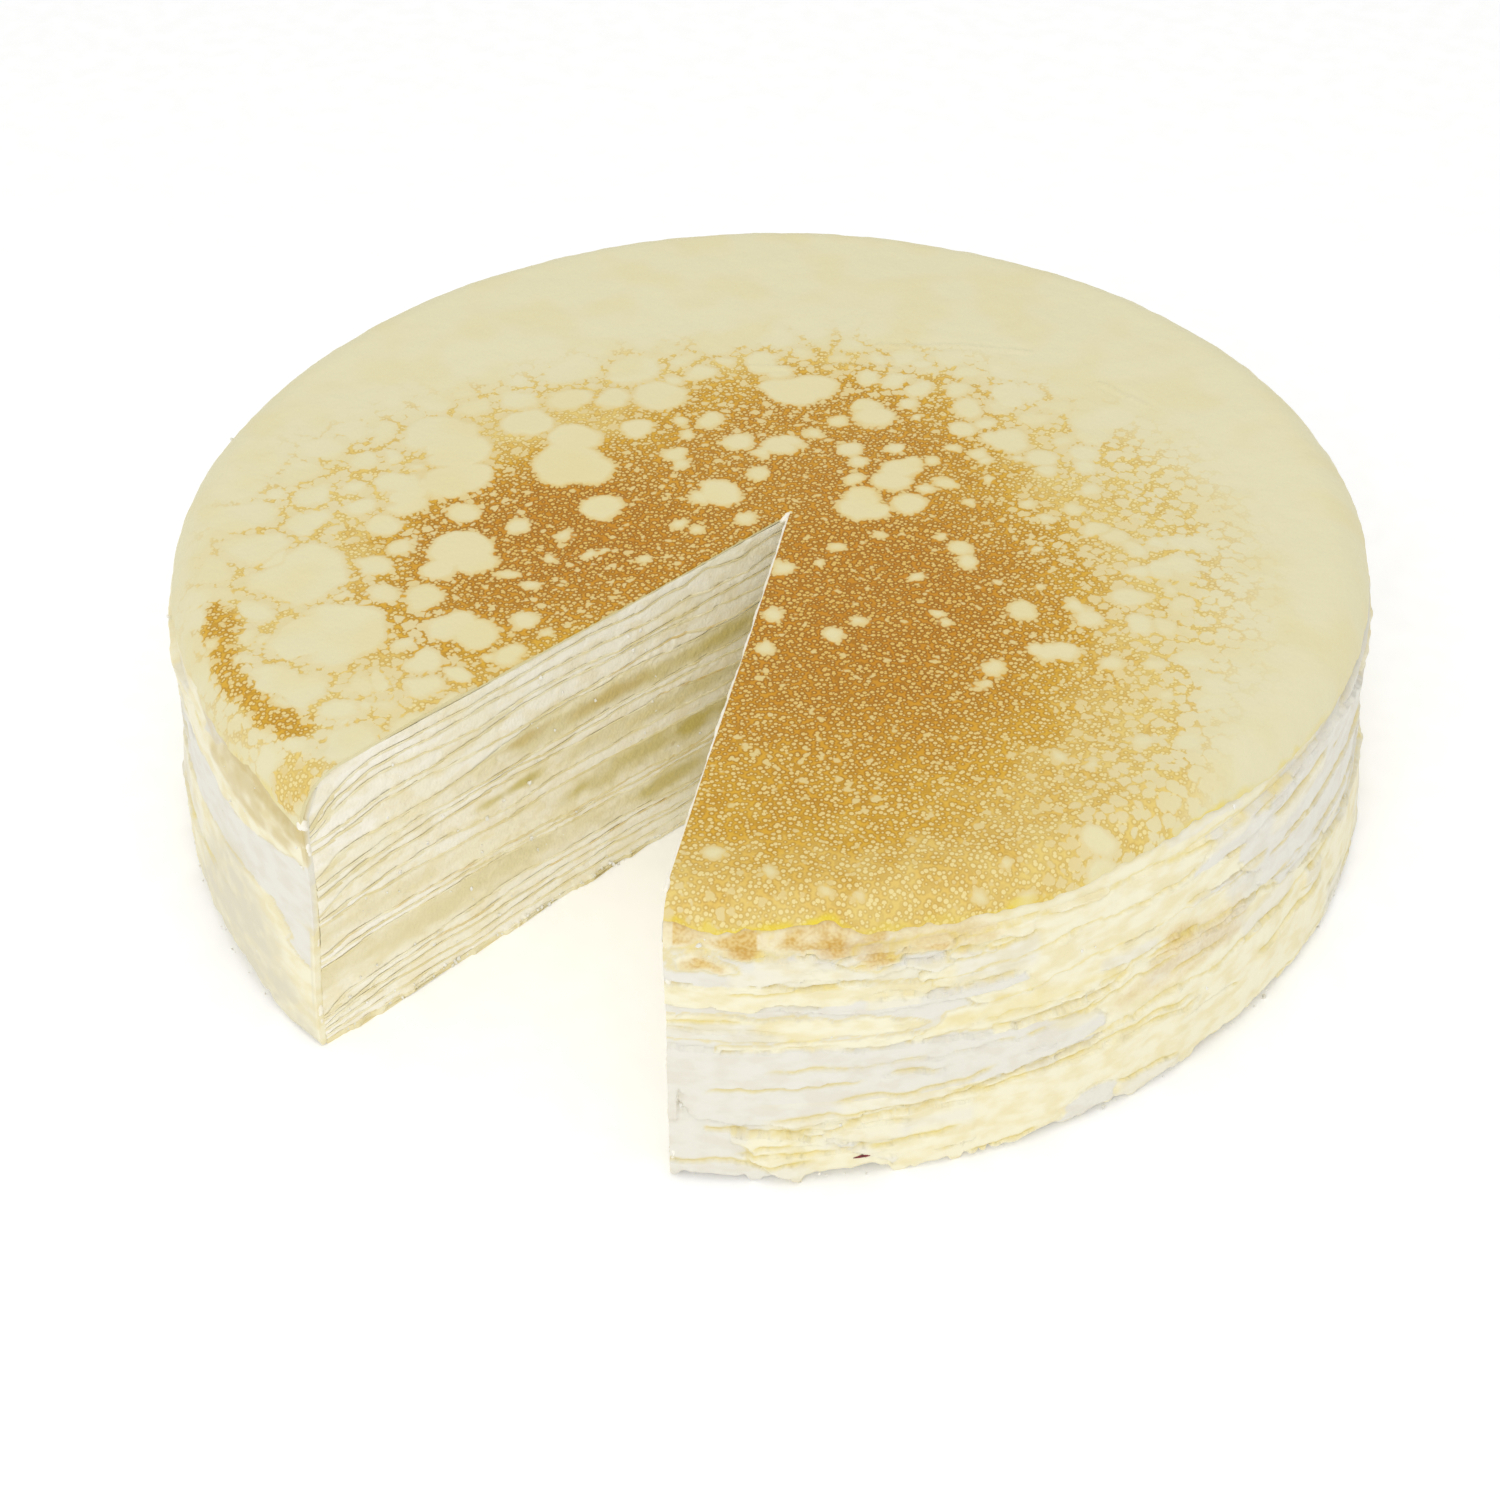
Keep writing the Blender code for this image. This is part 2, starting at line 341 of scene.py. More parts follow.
def doughMaterial(name, roughness, bumpDepth, tints, white, shadow):
    # cream dragged by a knife; the piece's own paint, where the tints name it, turns it to crepe, fruit or
    # toasted crepe
    # or lays painted shade on it: it gives the eye soft matt streaks with a fine grain
    material, add, shader, place = newMaterial(name)
    flattened = add("VectorMath", times, {0: place, 1: (0.7, 0.7, 1.3)})
    drag = add("TexNoise", {}, {"Vector": flattened, "Scale": 1 / 3.4, "Detail": 2.0})
    fine = add("TexNoise", {}, {"Vector": place, "Scale": 1 / 0.5, "Detail": 0.0})
    streaks = add("MapRange", smoothStep, {0: drag, 1: 0.42, 2: 0.66})
    colour = add("Mix", colourMix, {0: streaks, 6: linear(white), 7: linear(shadow)}, 2)
    for key in tints:
        paint = linear(doughFinish[key])
        if key + "Deep" in doughFinish:
            grain = add("Mix", {}, {0: 0.55, 2: drag, 3: fine}) if key == "toast" else drag
            deeper = add("MapRange", smoothStep, {0: grain, 1: 0.38, 2: 0.68})
            paint = add("Mix", colourMix, {0: deeper, 6: paint, 7: linear(doughFinish[key + "Deep"])}, 2)
        share = add("Attribute", {"attribute_name": key}, {}, "Fac")
        colour = add("Mix", colourMix, {0: share, 6: colour, 7: paint}, 2)
    relief = add("Math", timesPlus, {0: fine, 1: 0.4, 2: drag})
    bump = add("Bump", {}, {"Height": relief, "Strength": 0.5, "Distance": bumpDepth})
    feed(shader, {"Base Color": colour, "Roughness": roughness, "IOR": 1.4, "Normal": bump})
    return material


# crepe and toast are the side's own colours; its dull, bruise-coloured and yellow tints are painted shade
sideTints = ("crepe", "dull", "bruise", "toast", "yolk")
fruitTints = ("grainy", "ripe", "bruise")
cutWhites = ("#fbf7ea", "#f6efd9")      # in the light and in the streaks
browned = skinMaterial()
cream = doughMaterial("whipped cream, spread", 0.55, 0.0003, (), "#f3f1e8", "#e9e6da")
cutCream = doughMaterial("whipped cream, cut", 0.55, 0.0003, ("crepe",), *cutWhites)
softCrepe = doughMaterial("soft crepe, cut edge", 0.55, 0.0002, ("crepe", "line", "toast"), *cutWhites)
custard = doughMaterial("fruit custard, set", 0.4, 0.0003, ("crepe",) + fruitTints, "#f8f2de", "#f2e9c8")
sideMix = doughMaterial("torn crepe in whipped cream", 0.5, 0.00014, sideTints, "#e9e6da", "#e4dfd0")
print("materials made")


def topHeight(x, y):
    # the top sags and swells a little over a few centimetres
    return cake["level"] + 0.4 * softNoise(x, y, 34, 5) + 0.12 * softNoise(x, y, 13, 6)


def roundedDrop(inward, bend):
    # how far a quarter circle of radius bend has fallen at a distance inward from the rim
    short = np.clip(bend - inward, 0.0, bend * 0.9999)
    return bend - np.sqrt(bend ** 2 - short ** 2)


def rimReach(direction, radius):
    # distance from the cut's point to the circle of a radius, along unit directions
    point = np.array(cake["cutPoint"])
    along = direction @ point
    return np.sqrt(radius ** 2 - point @ point + along ** 2) - along


def sideRadius(azimuth, z):
    # straight above, flaring out to the foot, with slow waves round the cake
    arc = np.radians(azimuth) * cake["radius"]
    flare = cake["flare"] * ease(36, 0, z) * (1.0 + 0.15 * softNoise(arc, 0 * z, 30, 41))
    return cake["radius"] - 0.4 + flare + 0.3 * softNoise(arc, z, 24, 42)


firstDirection, secondDirection = heading(cake["firstCut"]), heading(cake["secondCut"])
cutPoint = np.array(cake["cutPoint"])
firstEnd = cutPoint + firstDirection * rimReach(firstDirection, cake["radius"])
secondEnd = cutPoint + secondDirection * rimReach(secondDirection, cake["radius"])
rimStart = math.degrees(math.atan2(*secondEnd[::-1]))              # just past the second cut
rimEnd = math.degrees(math.atan2(*firstEnd[::-1])) + 360.0         # just before the first


def azimuthOf(x, y):
    # degrees round the cake, rising without a jump from the second cut over the back to the first
    azimuth = np.degrees(np.arctan2(y, x))
    return np.where(azimuth < rimStart - 1, azimuth + 360, azimuth)


def toDrawing(x, y):
    # turns the cake's own axes by the view's angle: x to the right and y away, as seen from its front
    cosine, sine = heading(-cake["viewTurn"])
    return x * cosine - y * sine, x * sine + y * cosine


browning = {
    # centre, half widths, how much is browned, and the share of the half widths where the fade begins
    "fields": (((12, -52), (62, 122), 0.98, 0.38), ((-30, -14), (54, 64), 0.96, 0.2),
               ((-5, 24), (68, 38), 0.62, 0.3), ((-60, -22), (46, 70), 0.30, 0.5),
               ((40, -20), (52, 70), 0.4, 0.3), ((-67, -12), (7, 6), 0.75, 0.4),
               ((-75, -71), (6, 5), 0.85, 0.4)),
    "depths": (((14, -28), (54, 56), 1.0, 0.2), ((-33, -8), (38, 36), 1.0, 0.2),
               ((8, 18), (48, 36), 0.62, 0.3), ((5, -62), (54, 50), 0.4, 0.3),
               ((-48, -20), (30, 40), 0.5, 0.3)),
    "band": ((-91, -31), (-88, -45), (-83, -53), (-78, -58), (-74, -60)),     # a toasted streak at the left
    "filler": 7.0,                  # spacing of the unlisted islands
    "vein": (0.34, 0.80),           # width of the veins, and how it grows with the browning
    "netFrom": (20.0, 60.0),        # the veins fade out from the back and left towards the front right
}
# each pale island on the drawing: its place and its radius
islands = (
    (-60, 24, 7.5), (-56, 18, 6), (-57, 8, 5), (-54, 10, 5), (-65, 7, 5.5), (-64, 2, 4), (-36, 13, 6.5),
    (-31, 11, 4.5), (-35, 22, 5), (-44, 28, 5.5), (-46, 36, 4.5), (-37, 36, 4), (-29, 35, 3.5),
    (-20, 36, 5.5), (-24, 24, 3.5), (-5, 19, 3), (-10, 27, 2.5), (-16, 26, 1.8), (-14, 22, 1.8),
    (-17, 15, 2.5), (-16, 12, 2), (-8, 2, 4), (-12, 1, 2), (-29, -1, 4.2), (-54, -1, 3), (-43, -5, 2.5),
    (-67, -5, 3.5), (-74, 6, 2.5), (-81, 5, 4), (-73, 15, 3), (-80, -4, 4.5), (-55, 33, 3.5), (-56, 40, 3),
    (-16, -6.5, 1.8), (-4, -5, 2.2), (-13, -9, 1.5), (-35, -9, 1.5), (-25, 45, 6), (-37, 46, 5),
    (-53, -13, 6), (-50, -17, 4), (-56, -19, 3.5), (-63, -12, 2.8), (-67, -18, 3.5), (-58, -27, 3.6),
    (-53, -36, 3.8), (-48.5, -37, 4), (-51, -34, 3), (-41, -33.5, 2.6), (-44, -20.5, 2), (-39.5, -24, 1.8),
    (-28, -13.5, 1.2), (-37.5, -15, 1.5), (-31, -14, 1.6), (-21, -17, 1.5), (-42, -43, 3), (-45, -43, 1.4),
    (-37, -37.5, 1.4), (-56, -45, 3.5), (-56, -51, 3.5), (-65, -50, 4), (-62, -49, 3), (-67, -57, 4.2),
    (-63, -55, 3), (-72, -37, 9), (-78, -38, 6), (-77, -52, 6), (-80, -48, 5), (-66, -64, 5), (-74, -63, 2.8),
    (-79, -20, 9), (-85, -38, 3.5), (-88, -12, 6), (-92, -2, 6), (15, -3, 3.5), (17, 0, 3.5), (18.5, -4, 3),
    (24.5, -2, 3.3), (22.5, 5, 3.5), (24, 9, 3.5), (26, 11, 2.5), (16, 6, 2.2), (17, 12, 2), (15.5, 16.5, 3),
    (23.5, 16.5, 2.3), (2, 17, 3.5), (5, 19, 2.5), (-1, 15, 2), (-2, 9, 2.5), (20, 27, 3.2), (19, 31, 3),
    (14, 26.5, 2.2), (9, 22.5, 2), (27, 32.5, 2.2), (27, 27, 1.5), (5, 37, 5), (9, 39, 4), (2, 39, 3),
    (36, 23, 3), (44, 18, 4), (41, 19, 2.5), (34, 16, 1.8), (38, 14, 2), (39, 12, 1.8), (45, 12.5, 1.6),
    (31, 5, 2), (28, 2.5, 1.8), (30, 11.5, 1.8), (35, -1.5, 1.6), (39, 6, 1.5), (49.5, 8, 2.2), (57, 13.5, 3),
    (56.5, 9, 2.5), (57, 2.5, 2), (54, 18.5, 2), (53.5, -4, 2), (46, -3, 1.8), (48.5, -7, 1.6),
    (56.5, -11, 2.5), (60, -13, 2.5), (62, -16, 2.5), (33, -16.5, 2.3), (34, -20, 2.2), (25, -24, 1.6),
    (42, -33.5, 2.6), (28, -34, 1.6), (29, -37, 1.5), (52, -35.5, 2.6), (51, -33, 1.8), (45.5, -45, 2.6),
    (43.5, -44.5, 2.2), (48, -45, 2.5), (54, -48, 2.2), (35, -49, 2), (33, -52.5, 1.3), (66, -23, 3),
    (70, -21.5, 3), (62, -23.5, 2), (66, -28, 1.6), (60, -31, 2.8), (60, -38, 2.6), (65, -38, 2.5),
    (68, -32, 2.4), (67, -15, 2), (71, -15, 2.5), (74, -15, 2.5), (67, -47, 3), (61, -48, 2), (70, -55, 2.5),
    (62, -57, 1.4), (69, -59, 2.5), (57.5, -67, 1.8), (43, -71, 1.4), (48, -72.5, 1.2), (11, -39, 2.2),
    (1, -34, 2), (2, -20, 2), (8, -18.5, 1.2), (-1, -43, 1.8), (11, -15, 1.5), (15.5, -36, 1.4),
    (20, -11, 1.2), (30, -12, 1.4), (38.5, -25.5, 1.2), (45, -17, 1.2), (46, -27.5, 1.3), (48, -89, 3),
    (65, -68, 2.5), (-9, -93, 1.8), (0, -97, 1.5), (8, -99, 1.3), (12, -100, 1.2), (30, -99, 1.3),
    (37, -100, 2), (34, -94, 1.2), (49, -94, 2.8),
)


def gather(fields, u, v):
    # soft ellipses joined so that each only adds to what the others leave
    rest = np.ones_like(u)
    for (cx, cy), (rx, ry), strength, start in fields:
        rest = rest * (1 - strength * ease(1.0, start, np.hypot((u - cx) / rx, (v - cy) / ry)))
    return 1 - rest


def pathDistance(u, v, path):
    # the least distance to any straight piece of a path
    best = np.full_like(u, 1e9)
    for (ax, ay), (bx, by) in zip(path[:-1], path[1:]):
        share = ((u - ax) * (bx - ax) + (v - ay) * (by - ay)) / ((bx - ax) ** 2 + (by - ay) ** 2)
        share = np.clip(share, 0, 1)
        best = np.minimum(best, np.hypot(u - ax - share * (bx - ax), v - ay - share * (by - ay)))
    return best


def topDrawing(x, y):
    # how much is browned, how dark, and how far inside a pale hole each place on the top is
    u, v = toDrawing(x, y)
    wide = gather(browning["fields"], u, v)
    depth = gather(browning["depths"], u, v)
    netting = ease(*browning["netFrom"][::-1], u - 0.9 * v)
    u = u + 1.1 * softNoise(x, y, 7, 61) + 0.4 * softNoise(x, y, 2.4, 62)
    v = v + 1.1 * softNoise(x, y, 7, 63) + 0.4 * softNoise(x, y, 2.4, 64)
    near = ease(4.2, 1.4, pathDistance(u, v, browning["band"]))
    wide, depth = np.maximum(wide, 0.85 * near), np.maximum(depth, 0.35 * near)
    wide = np.clip(wide * (1 + 0.2 * roughNoise(x, y, 15, 65)), 0, 0.97)
    depth = np.clip(depth + 0.13 * roughNoise(x, y, 3.2, 66), 0, 1)
    # each island counts by how far a place lies inside it; veins run where two islands count the same
    first, second = np.full_like(x, -9.0), np.full_like(x, -9.0)
    for cx, cy, size in islandPlaces:
        inside = 1.05 * size - np.hypot(u - cx, v - cy)
        second = np.maximum(second, np.minimum(first, inside))
        first = np.maximum(first, inside)
    vein = browning["vein"][0] + browning["vein"][1] * wide + 0.22 * roughNoise(x, y, 8, 67, 2)
    joined = np.maximum(np.maximum(ease(0.5, 1.7, second), ease(0.45, 0.7, wide)), 1 - netting)
    parted = 0.5 * (first - second) - np.maximum(vein, 0.05) + 3.0 * joined
    return wide, depth, np.clip(np.minimum(first, parted) - 2.2 * near, -3.0, 3.0)


def fillIslands():
    # jittered places between the listed islands, wherever the back and left are only partly browned
    spacing = browning["filler"]
    listed = np.array(islands)
    column, row = np.meshgrid(np.arange(-16, 17), np.arange(-16, 17))
    cx = (column + 0.5 * (row % 2) + 0.32 * latticeValue(column, row, 91)) * spacing
    cy = (row * 0.87 + 0.32 * latticeValue(column, row, 92)) * spacing
    size = spacing * (0.52 + 0.16 * latticeValue(column, row, 93))
    away = np.hypot(cx[..., None] - listed[:, 0], cy[..., None] - listed[:, 1]) - listed[:, 2]
    away = np.min(away, axis=-1)
    wide = gather(browning["fields"], cx, cy)
    keep = (np.hypot(cx, cy) < 104) & (away > 0.35 * size) & (cx - 0.9 * cy < 45)
    keep = keep & (wide > 0.02) & (wide < 0.62)
    size = np.minimum(size, away + 1.2) * (1.1 - 0.5 * wide)
    return list(islands) + list(zip(cx[keep], cy[keep], size[keep]))


islandPlaces = fillIslands()

# The top crepe: flat over the stack, round over the rim, then down to a torn hem
skin = {
    "seam": 56.0, "inner": (500, 90, 6), "outer": (910, 42, 22),     # columns, rows and rows underneath
    "rimRows": 44, "rimBand": 26.0,
    # azimuth in degrees and height of the hem
    "hem": ((-69.7, 51.0), (-65, 49.6), (-61, 50.6), (-56, 51.0), (-53, 49.2), (-40, 48.6), (-22, 50.2),
            (-10, 48.6), (10, 48.0), (60, 49.0), (110, 47.6), (160, 48.8), (200, 48.2), (225, 49.5),
            (235, 50.0), (243, 48.3), (248, 49.8), (252, 47.4), (255.2, 45.6)),
    "creases": (((-5, 46), (6, 45.4), (16, 45.2), (25, 44)), ((22, 53), (36, 51.6), (50, 49)),
                ((62, 38), (70, 30))),
    # azimuth and strength of the yellow line just above the hem
    "yolk": ((-69.7, 0.5), (-65, 0.8), (-57, 0.75), (-53, 0.35), (-44, 0.3), (-41, 0.5), (-38, 0.15),
             (-27, 0.1), (-21, 0.7), (-16, 0.3), (-8, 0.35), (0, 0.1), (60, 0.15), (150, 0.1), (240, 0.1),
             (250, 0.3), (255, 0.2)),
}


def makeSkin(name, outside):
    # rows run out from the cut's point along each direction: flat, then a quarter circle, then straight down;
    # the crepe is one heart inside the seam and one ring outside it
    columns, rowCount, underRows = skin["outer" if outside else "inner"]
    directions = heading(np.linspace(cake["secondCut"] - 360.0, cake["firstCut"], columns))
    reachOut = rimReach(directions, cake["radius"])
    azimuth = azimuthOf(*(cutPoint + directions * reachOut[:, None]).T)
    arc = np.radians(azimuth) * cake["radius"]
    hem = pathHeight(skin["hem"], azimuth, 1.2)
    hem = hem + 0.45 * roughNoise(arc, 0, 5, 71) + 0.25 * softNoise(arc, 0, 1.3, 72)
    bend = cake["rimRound"]
    drop = cake["level"] - hem
    around = np.arccos(np.clip(1 - drop / bend, 0.0, 1.0))
    flatReach = reachOut - bend
    length = flatReach + around * bend + np.maximum(0.0, drop - bend)

    def lay(along, sunk):
        # places at a distance along the profile, sunk inwards from its face, and how far it has turned down
        turned = np.clip((along - flatReach) / bend, 0.0, math.pi / 2)
        straight = np.maximum(0.0, along - flatReach - bend * math.pi / 2)
        distance = np.minimum(along, flatReach) + (bend - sunk) * np.sin(turned)
        x = cutPoint[0] + directions[:, 0] * distance
        y = cutPoint[1] + directions[:, 1] * distance
        z = topHeight(x, y) - bend + (bend - sunk) * np.cos(turned) - straight
        return np.stack([x, y, z], axis=-1), turned

    seam, band = skin["seam"], skin["rimBand"]
    if outside:
        wide = seam + (length - band - seam) * np.linspace(0, 1, rowCount)[:, None]
        close = length - band * np.linspace(1, 0, skin["rimRows"] + 1)[1:, None]
        along = np.vstack([wide, close])
        back = np.rint(np.linspace(len(along) - 1, 0, underRows)).astype(int)
        under = np.minimum(along[back], length - 0.25)
    else:
        along = seam * np.linspace(0.012, 1, rowCount)[:, None] * np.ones(columns)
        under = seam * np.linspace(1, 0.05, underRows)[:, None] * np.ones(columns)
    flatX, flatY = (cutPoint[k] + directions[:, k] * along for k in (0, 1))
    brown, depth, hole = topDrawing(flatX, flatY)
    puff = skinRelief(flatX, flatY, brown, hole) - 0.25 * ease(2.0, 0.0, length - along)
    strength = pathHeight(skin["yolk"], azimuth, 0.8) * (1 + 0.5 * roughNoise(arc, 0, 3.0, 75, 3))
    yolk = ease(1.3, 0.2, length - along + 0.9 * softNoise(arc, along, 2.2, 76)) * np.clip(strength, 0, 1)
    upper, turned = lay(along, 0.0)
    outwards = np.concatenate([np.sin(turned)[..., None] * directions, np.cos(turned)[..., None]], axis=-1)
    upper = upper + outwards * puff[..., None]
    lower, _ = lay(under, cake["skin"])

    rows = len(upper)
    points = np.vstack([upper, lower]).reshape(-1, 3)
    ids = numbered(rows + underRows, columns)
    faces = [gridFaces(ids, roundRows=outside)]
    sides = [[ids[:rows, column], ids[rows:, column][::-1]] for column in (0, -1)]
    if not outside:
        poles = np.array([ids.size, ids.size + 1])
        middle = [*cutPoint, topHeight(*cutPoint)]
        points = np.vstack([points, [middle, middle - np.array([0, 0, cake["skin"]])]])
        for pole, ring in zip(poles, (ids[0], ids[-1])):
            faces.append(np.stack([ring[:-1], ring[1:], np.full(columns - 1, pole)], axis=-1))
        sides = [[np.append(pole, chain) for pole, chain in zip(poles, side)] for side in sides]
    faces += [zipFaces(*side) for side in sides]
    extra = len(points) - rows * columns
    paint = {key: np.append(values, np.full(extra, inner)) for key, values, inner in (
        ("browning", brown, 0.0), ("depth", depth, 0.0), ("hole", hole, 3.0), ("yolk", yolk, 0.0))}
    laid = np.column_stack([flatX.ravel(), flatY.ravel(), np.zeros(rows * columns)])
    paint["laid"] = np.vstack([laid, points[rows * columns:] * (1, 1, 0)])
    return makePiece(name, points, faces, browned, ["top_crepe"], paint, recalculate=True)


def skinRelief(x, y, brown, hole):
    # islands puff up, bare batter is finely rough, all of it swells softly, and creases stand up beside a dip
    bare = ease(1.0, 0.2, brown)
    puff = 0.14 * ease(-0.3, 0.7, hole) * ease(0.1, 0.5, brown) + 0.10 * roughNoise(x, y, 2.4, 73) * bare
    puff += 0.12 * roughNoise(x, y, 7, 74)
    u, v = toDrawing(x, y)
    u, v = u + 0.6 * softNoise(x, y, 6, 77), v + 0.6 * softNoise(x, y, 6, 78)
    for path in skin["creases"]:
        far = pathDistance(u, v, path)
        puff += 0.22 * bell(far, 0.5) - 0.12 * bell(far - 1.1, 0.6)
    return puff


makeSkin("top_crepe_heart", False)
makeSkin("top_crepe_ring", True)
print("top crepe laid")

# The stack: the height of each crepe along the first cut, as distance from the cut's point and height
crepePaths = {
    1: ((0, 52.3), (5, 52.5), (13, 51.5), (20, 53), (25, 51.8), (28, 52.4), (35, 51.7), (50, 52.3),
        (70, 51.8), (78, 52.2), (90, 52.2), (95, 51), (100, 48.6), (104, 44.5)),
    2: ((0, 48.9), (5, 48.8), (10, 48), (20, 48.2), (24, 49), (35, 48.6), (45, 49.3), (57, 49.8), (75, 50.2),
        (92, 50.3), (99, 47.6), (104, 43.4)),
    3: ((0, 46.1), (20, 46), (30, 46.2), (40, 46), (57, 47.5), (70, 46.4), (80, 47.3), (88, 48.3), (94, 48),
        (100, 45.6), (104, 42.5)),
    4: ((0, 43.6), (8, 43), (30, 45), (45, 45.3), (60, 46), (70, 45), (85, 44.3), (104, 41.6)),
    5: ((0, 40.5), (10, 40), (20, 40.3), (25, 42), (30, 42.5), (50, 41.8), (70, 41.7), (80, 42.9), (90, 42.5),
        (104, 40)),
    6: ((0, 39.5), (25, 40), (35, 40.8), (60, 41), (75, 38.2), (95, 37.8), (100, 37), (104, 34.4)),
    7: ((0, 34.6), (25, 34.8), (45, 34.9), (75, 35.1), (85, 35.2), (95, 34.2), (104, 32.6)),
    8: ((0, 32), (13, 32), (24, 33.2), (37, 33.9), (57, 33.2), (65, 34.3), (85, 33.4), (95, 32.9),
        (104, 30.4)),
    9: ((0, 29.3), (13, 29.5), (18, 30.2), (31, 32), (45, 31.6), (62, 32.3), (70, 32.8), (90, 31.3),
        (97, 30.5), (104, 27.2)),
    10: ((0, 26.8), (15, 26.5), (35, 27.1), (57, 27.5), (65, 26.4), (80, 28.4), (100, 27), (104, 26)),
    11: ((0, 23.2), (17, 23), (25, 24), (45, 24.6), (65, 24.6), (80, 25.4), (95, 25.8), (104, 24.8)),
    12: ((0, 17.8), (20, 17.5), (25, 16.9), (37, 17.9), (50, 17.5), (57, 18.2), (65, 18.9), (80, 20),
         (97, 20.2), (104, 18.8)),
    13: ((0, 16.4), (22, 16.2), (40, 16.2), (57, 17.2), (75, 18.4), (95, 18.6), (104, 17.4)),
    14: ((0, 15.3), (35, 15.2), (50, 15.4), (70, 17.2), (95, 17.4), (104, 16)),
    15: ((0, 9), (25, 9), (35, 9.7), (57, 10), (62, 10.8), (68, 11.1), (75, 10), (90, 9.3), (100, 8.8),
         (104, 6.2)),
    16: ((0, 8), (30, 8.2), (37, 8.8), (52, 8.1), (60, 8.9), (75, 8.2), (82, 8.3), (95, 7.4), (104, 5)),
    17: ((0, 5.5), (25, 5.5), (32, 6), (57, 6.5), (75, 6.1), (80, 6.8), (97, 5.8), (104, 4)),
    18: ((0, 4.6), (33, 4.7), (57, 5), (75, 4.1), (92, 4.8), (104, 3)),
    19: ((0, 2.5), (30, 2.5), (65, 2.8), (75, 2.3), (95, 2.5), (104, 1.8)),
    20: ((0, 0.5), (30, 0.6), (60, 0.4), (80, 0.9), (95, 0.6), (104, 0.6)),
}
fruitLayers = {
    # patches on the first cut: place along it and height, half sizes, and how strong each tint is
    7: (("ripe", 17, 37.3, 9, 1.9, 0.7), ("ripe", 28, 37.6, 10, 1.8, 0.5), ("bruise", 42.5, 38, 6, 1.6, 0.7),
        ("bruise", 61, 39, 4.5, 1.1, 0.65), ("ripe", 52, 37.6, 18, 2.2, 0.35),
        ("grainy", 30, 37, 30, 2.6, 0.35)),
    10: (("ripe", 42, 30.2, 13, 1.5, 0.35), ("ripe", 62, 30, 4, 1, 0.8), ("ripe", 69, 30, 3, 0.8, 0.7),
         ("ripe", 22, 29.2, 20, 1.5, 0.4)),
    12: (("ripe", 24, 22, 8, 2.2, 0.85), ("ripe", 50, 21.6, 5.5, 1.7, 0.8), ("ripe", 36, 22, 17, 2.6, 0.7),
         ("grainy", 93, 22.8, 12, 2.0, 0.6), ("bruise", 29.5, 20, 0.5, 0.3, 1.0)),
    15: (("ripe", 31, 12.8, 10, 2.3, 0.75), ("grainy", 82, 14.6, 26, 3.6, 0.85),
         ("grainy", 55, 13.6, 10, 2.2, 0.5)),
}
toastedCrepes = {
    # from and to along the first cut, and how brown
    1: ((2, 9, 0.7),), 2: ((10, 20, 0.4),), 5: ((0, 42, 0.8), (80, 92, 0.35)),
    9: ((8, 34, 0.75), (60, 76, 0.4), (90, 96, 0.7)), 12: ((14, 100, 0.55),), 13: ((20, 60, 0.35),),
    15: ((0, 30, 0.3),), 16: ((4, 62, 0.85), (70, 90, 0.5)),
}
stack = {
    "cutColumns": 300, "rimColumns": 520,
    "crepeRows": 4, "fruitRows": 17, "creamRows": (4, 9), "rowHeight": 0.28,
    "tip": 0.35,                # from the cut's point to the first column
    "inset": 0.8,               # how far inside the rim the cuts' last columns stand
    "heart": 21.0,              # from the cut's point to the middle that every layer closes on
    "shrink": (0.3, 0.75),      # the rings between that middle and the faces, as shares of the way
    "behind": 1.9,              # how far the stack stays behind the rim, inside the wall
    "least": 0.16,              # thinnest filling
}


def stackColumns():
    # out along the first cut, round the rim and back along the second: place, outward direction, distance
    # along a cut, and 1, 0 or -1 for first cut, rim or second cut
    spread = np.linspace(0.0, 1.0, stack["cutColumns"])
    cuts = []
    for angle, side in ((cake["firstCut"], 1), (cake["secondCut"], -1)):
        reach = rimReach(heading(angle), cake["radius"] - stack["inset"])
        along = stack["tip"] + spread * (reach - stack["tip"])
        normal = np.tile(heading(angle + 90 * side), (len(along), 1))
        cuts.append((cutPoint + along[:, None] * heading(angle), normal, along, np.full(len(along), side)))
    outwards = heading(np.linspace(rimEnd, rimStart, stack["rimColumns"] + 2)[1:-1])
    flat = np.full(len(outwards), cake["cutLength"])
    rim = (outwards * (cake["radius"] - stack["behind"]), outwards, flat, 0 * flat)
    first, second = cuts
    return [np.concatenate([first[k], rim[k], second[k][::-1]]) for k in range(4)]


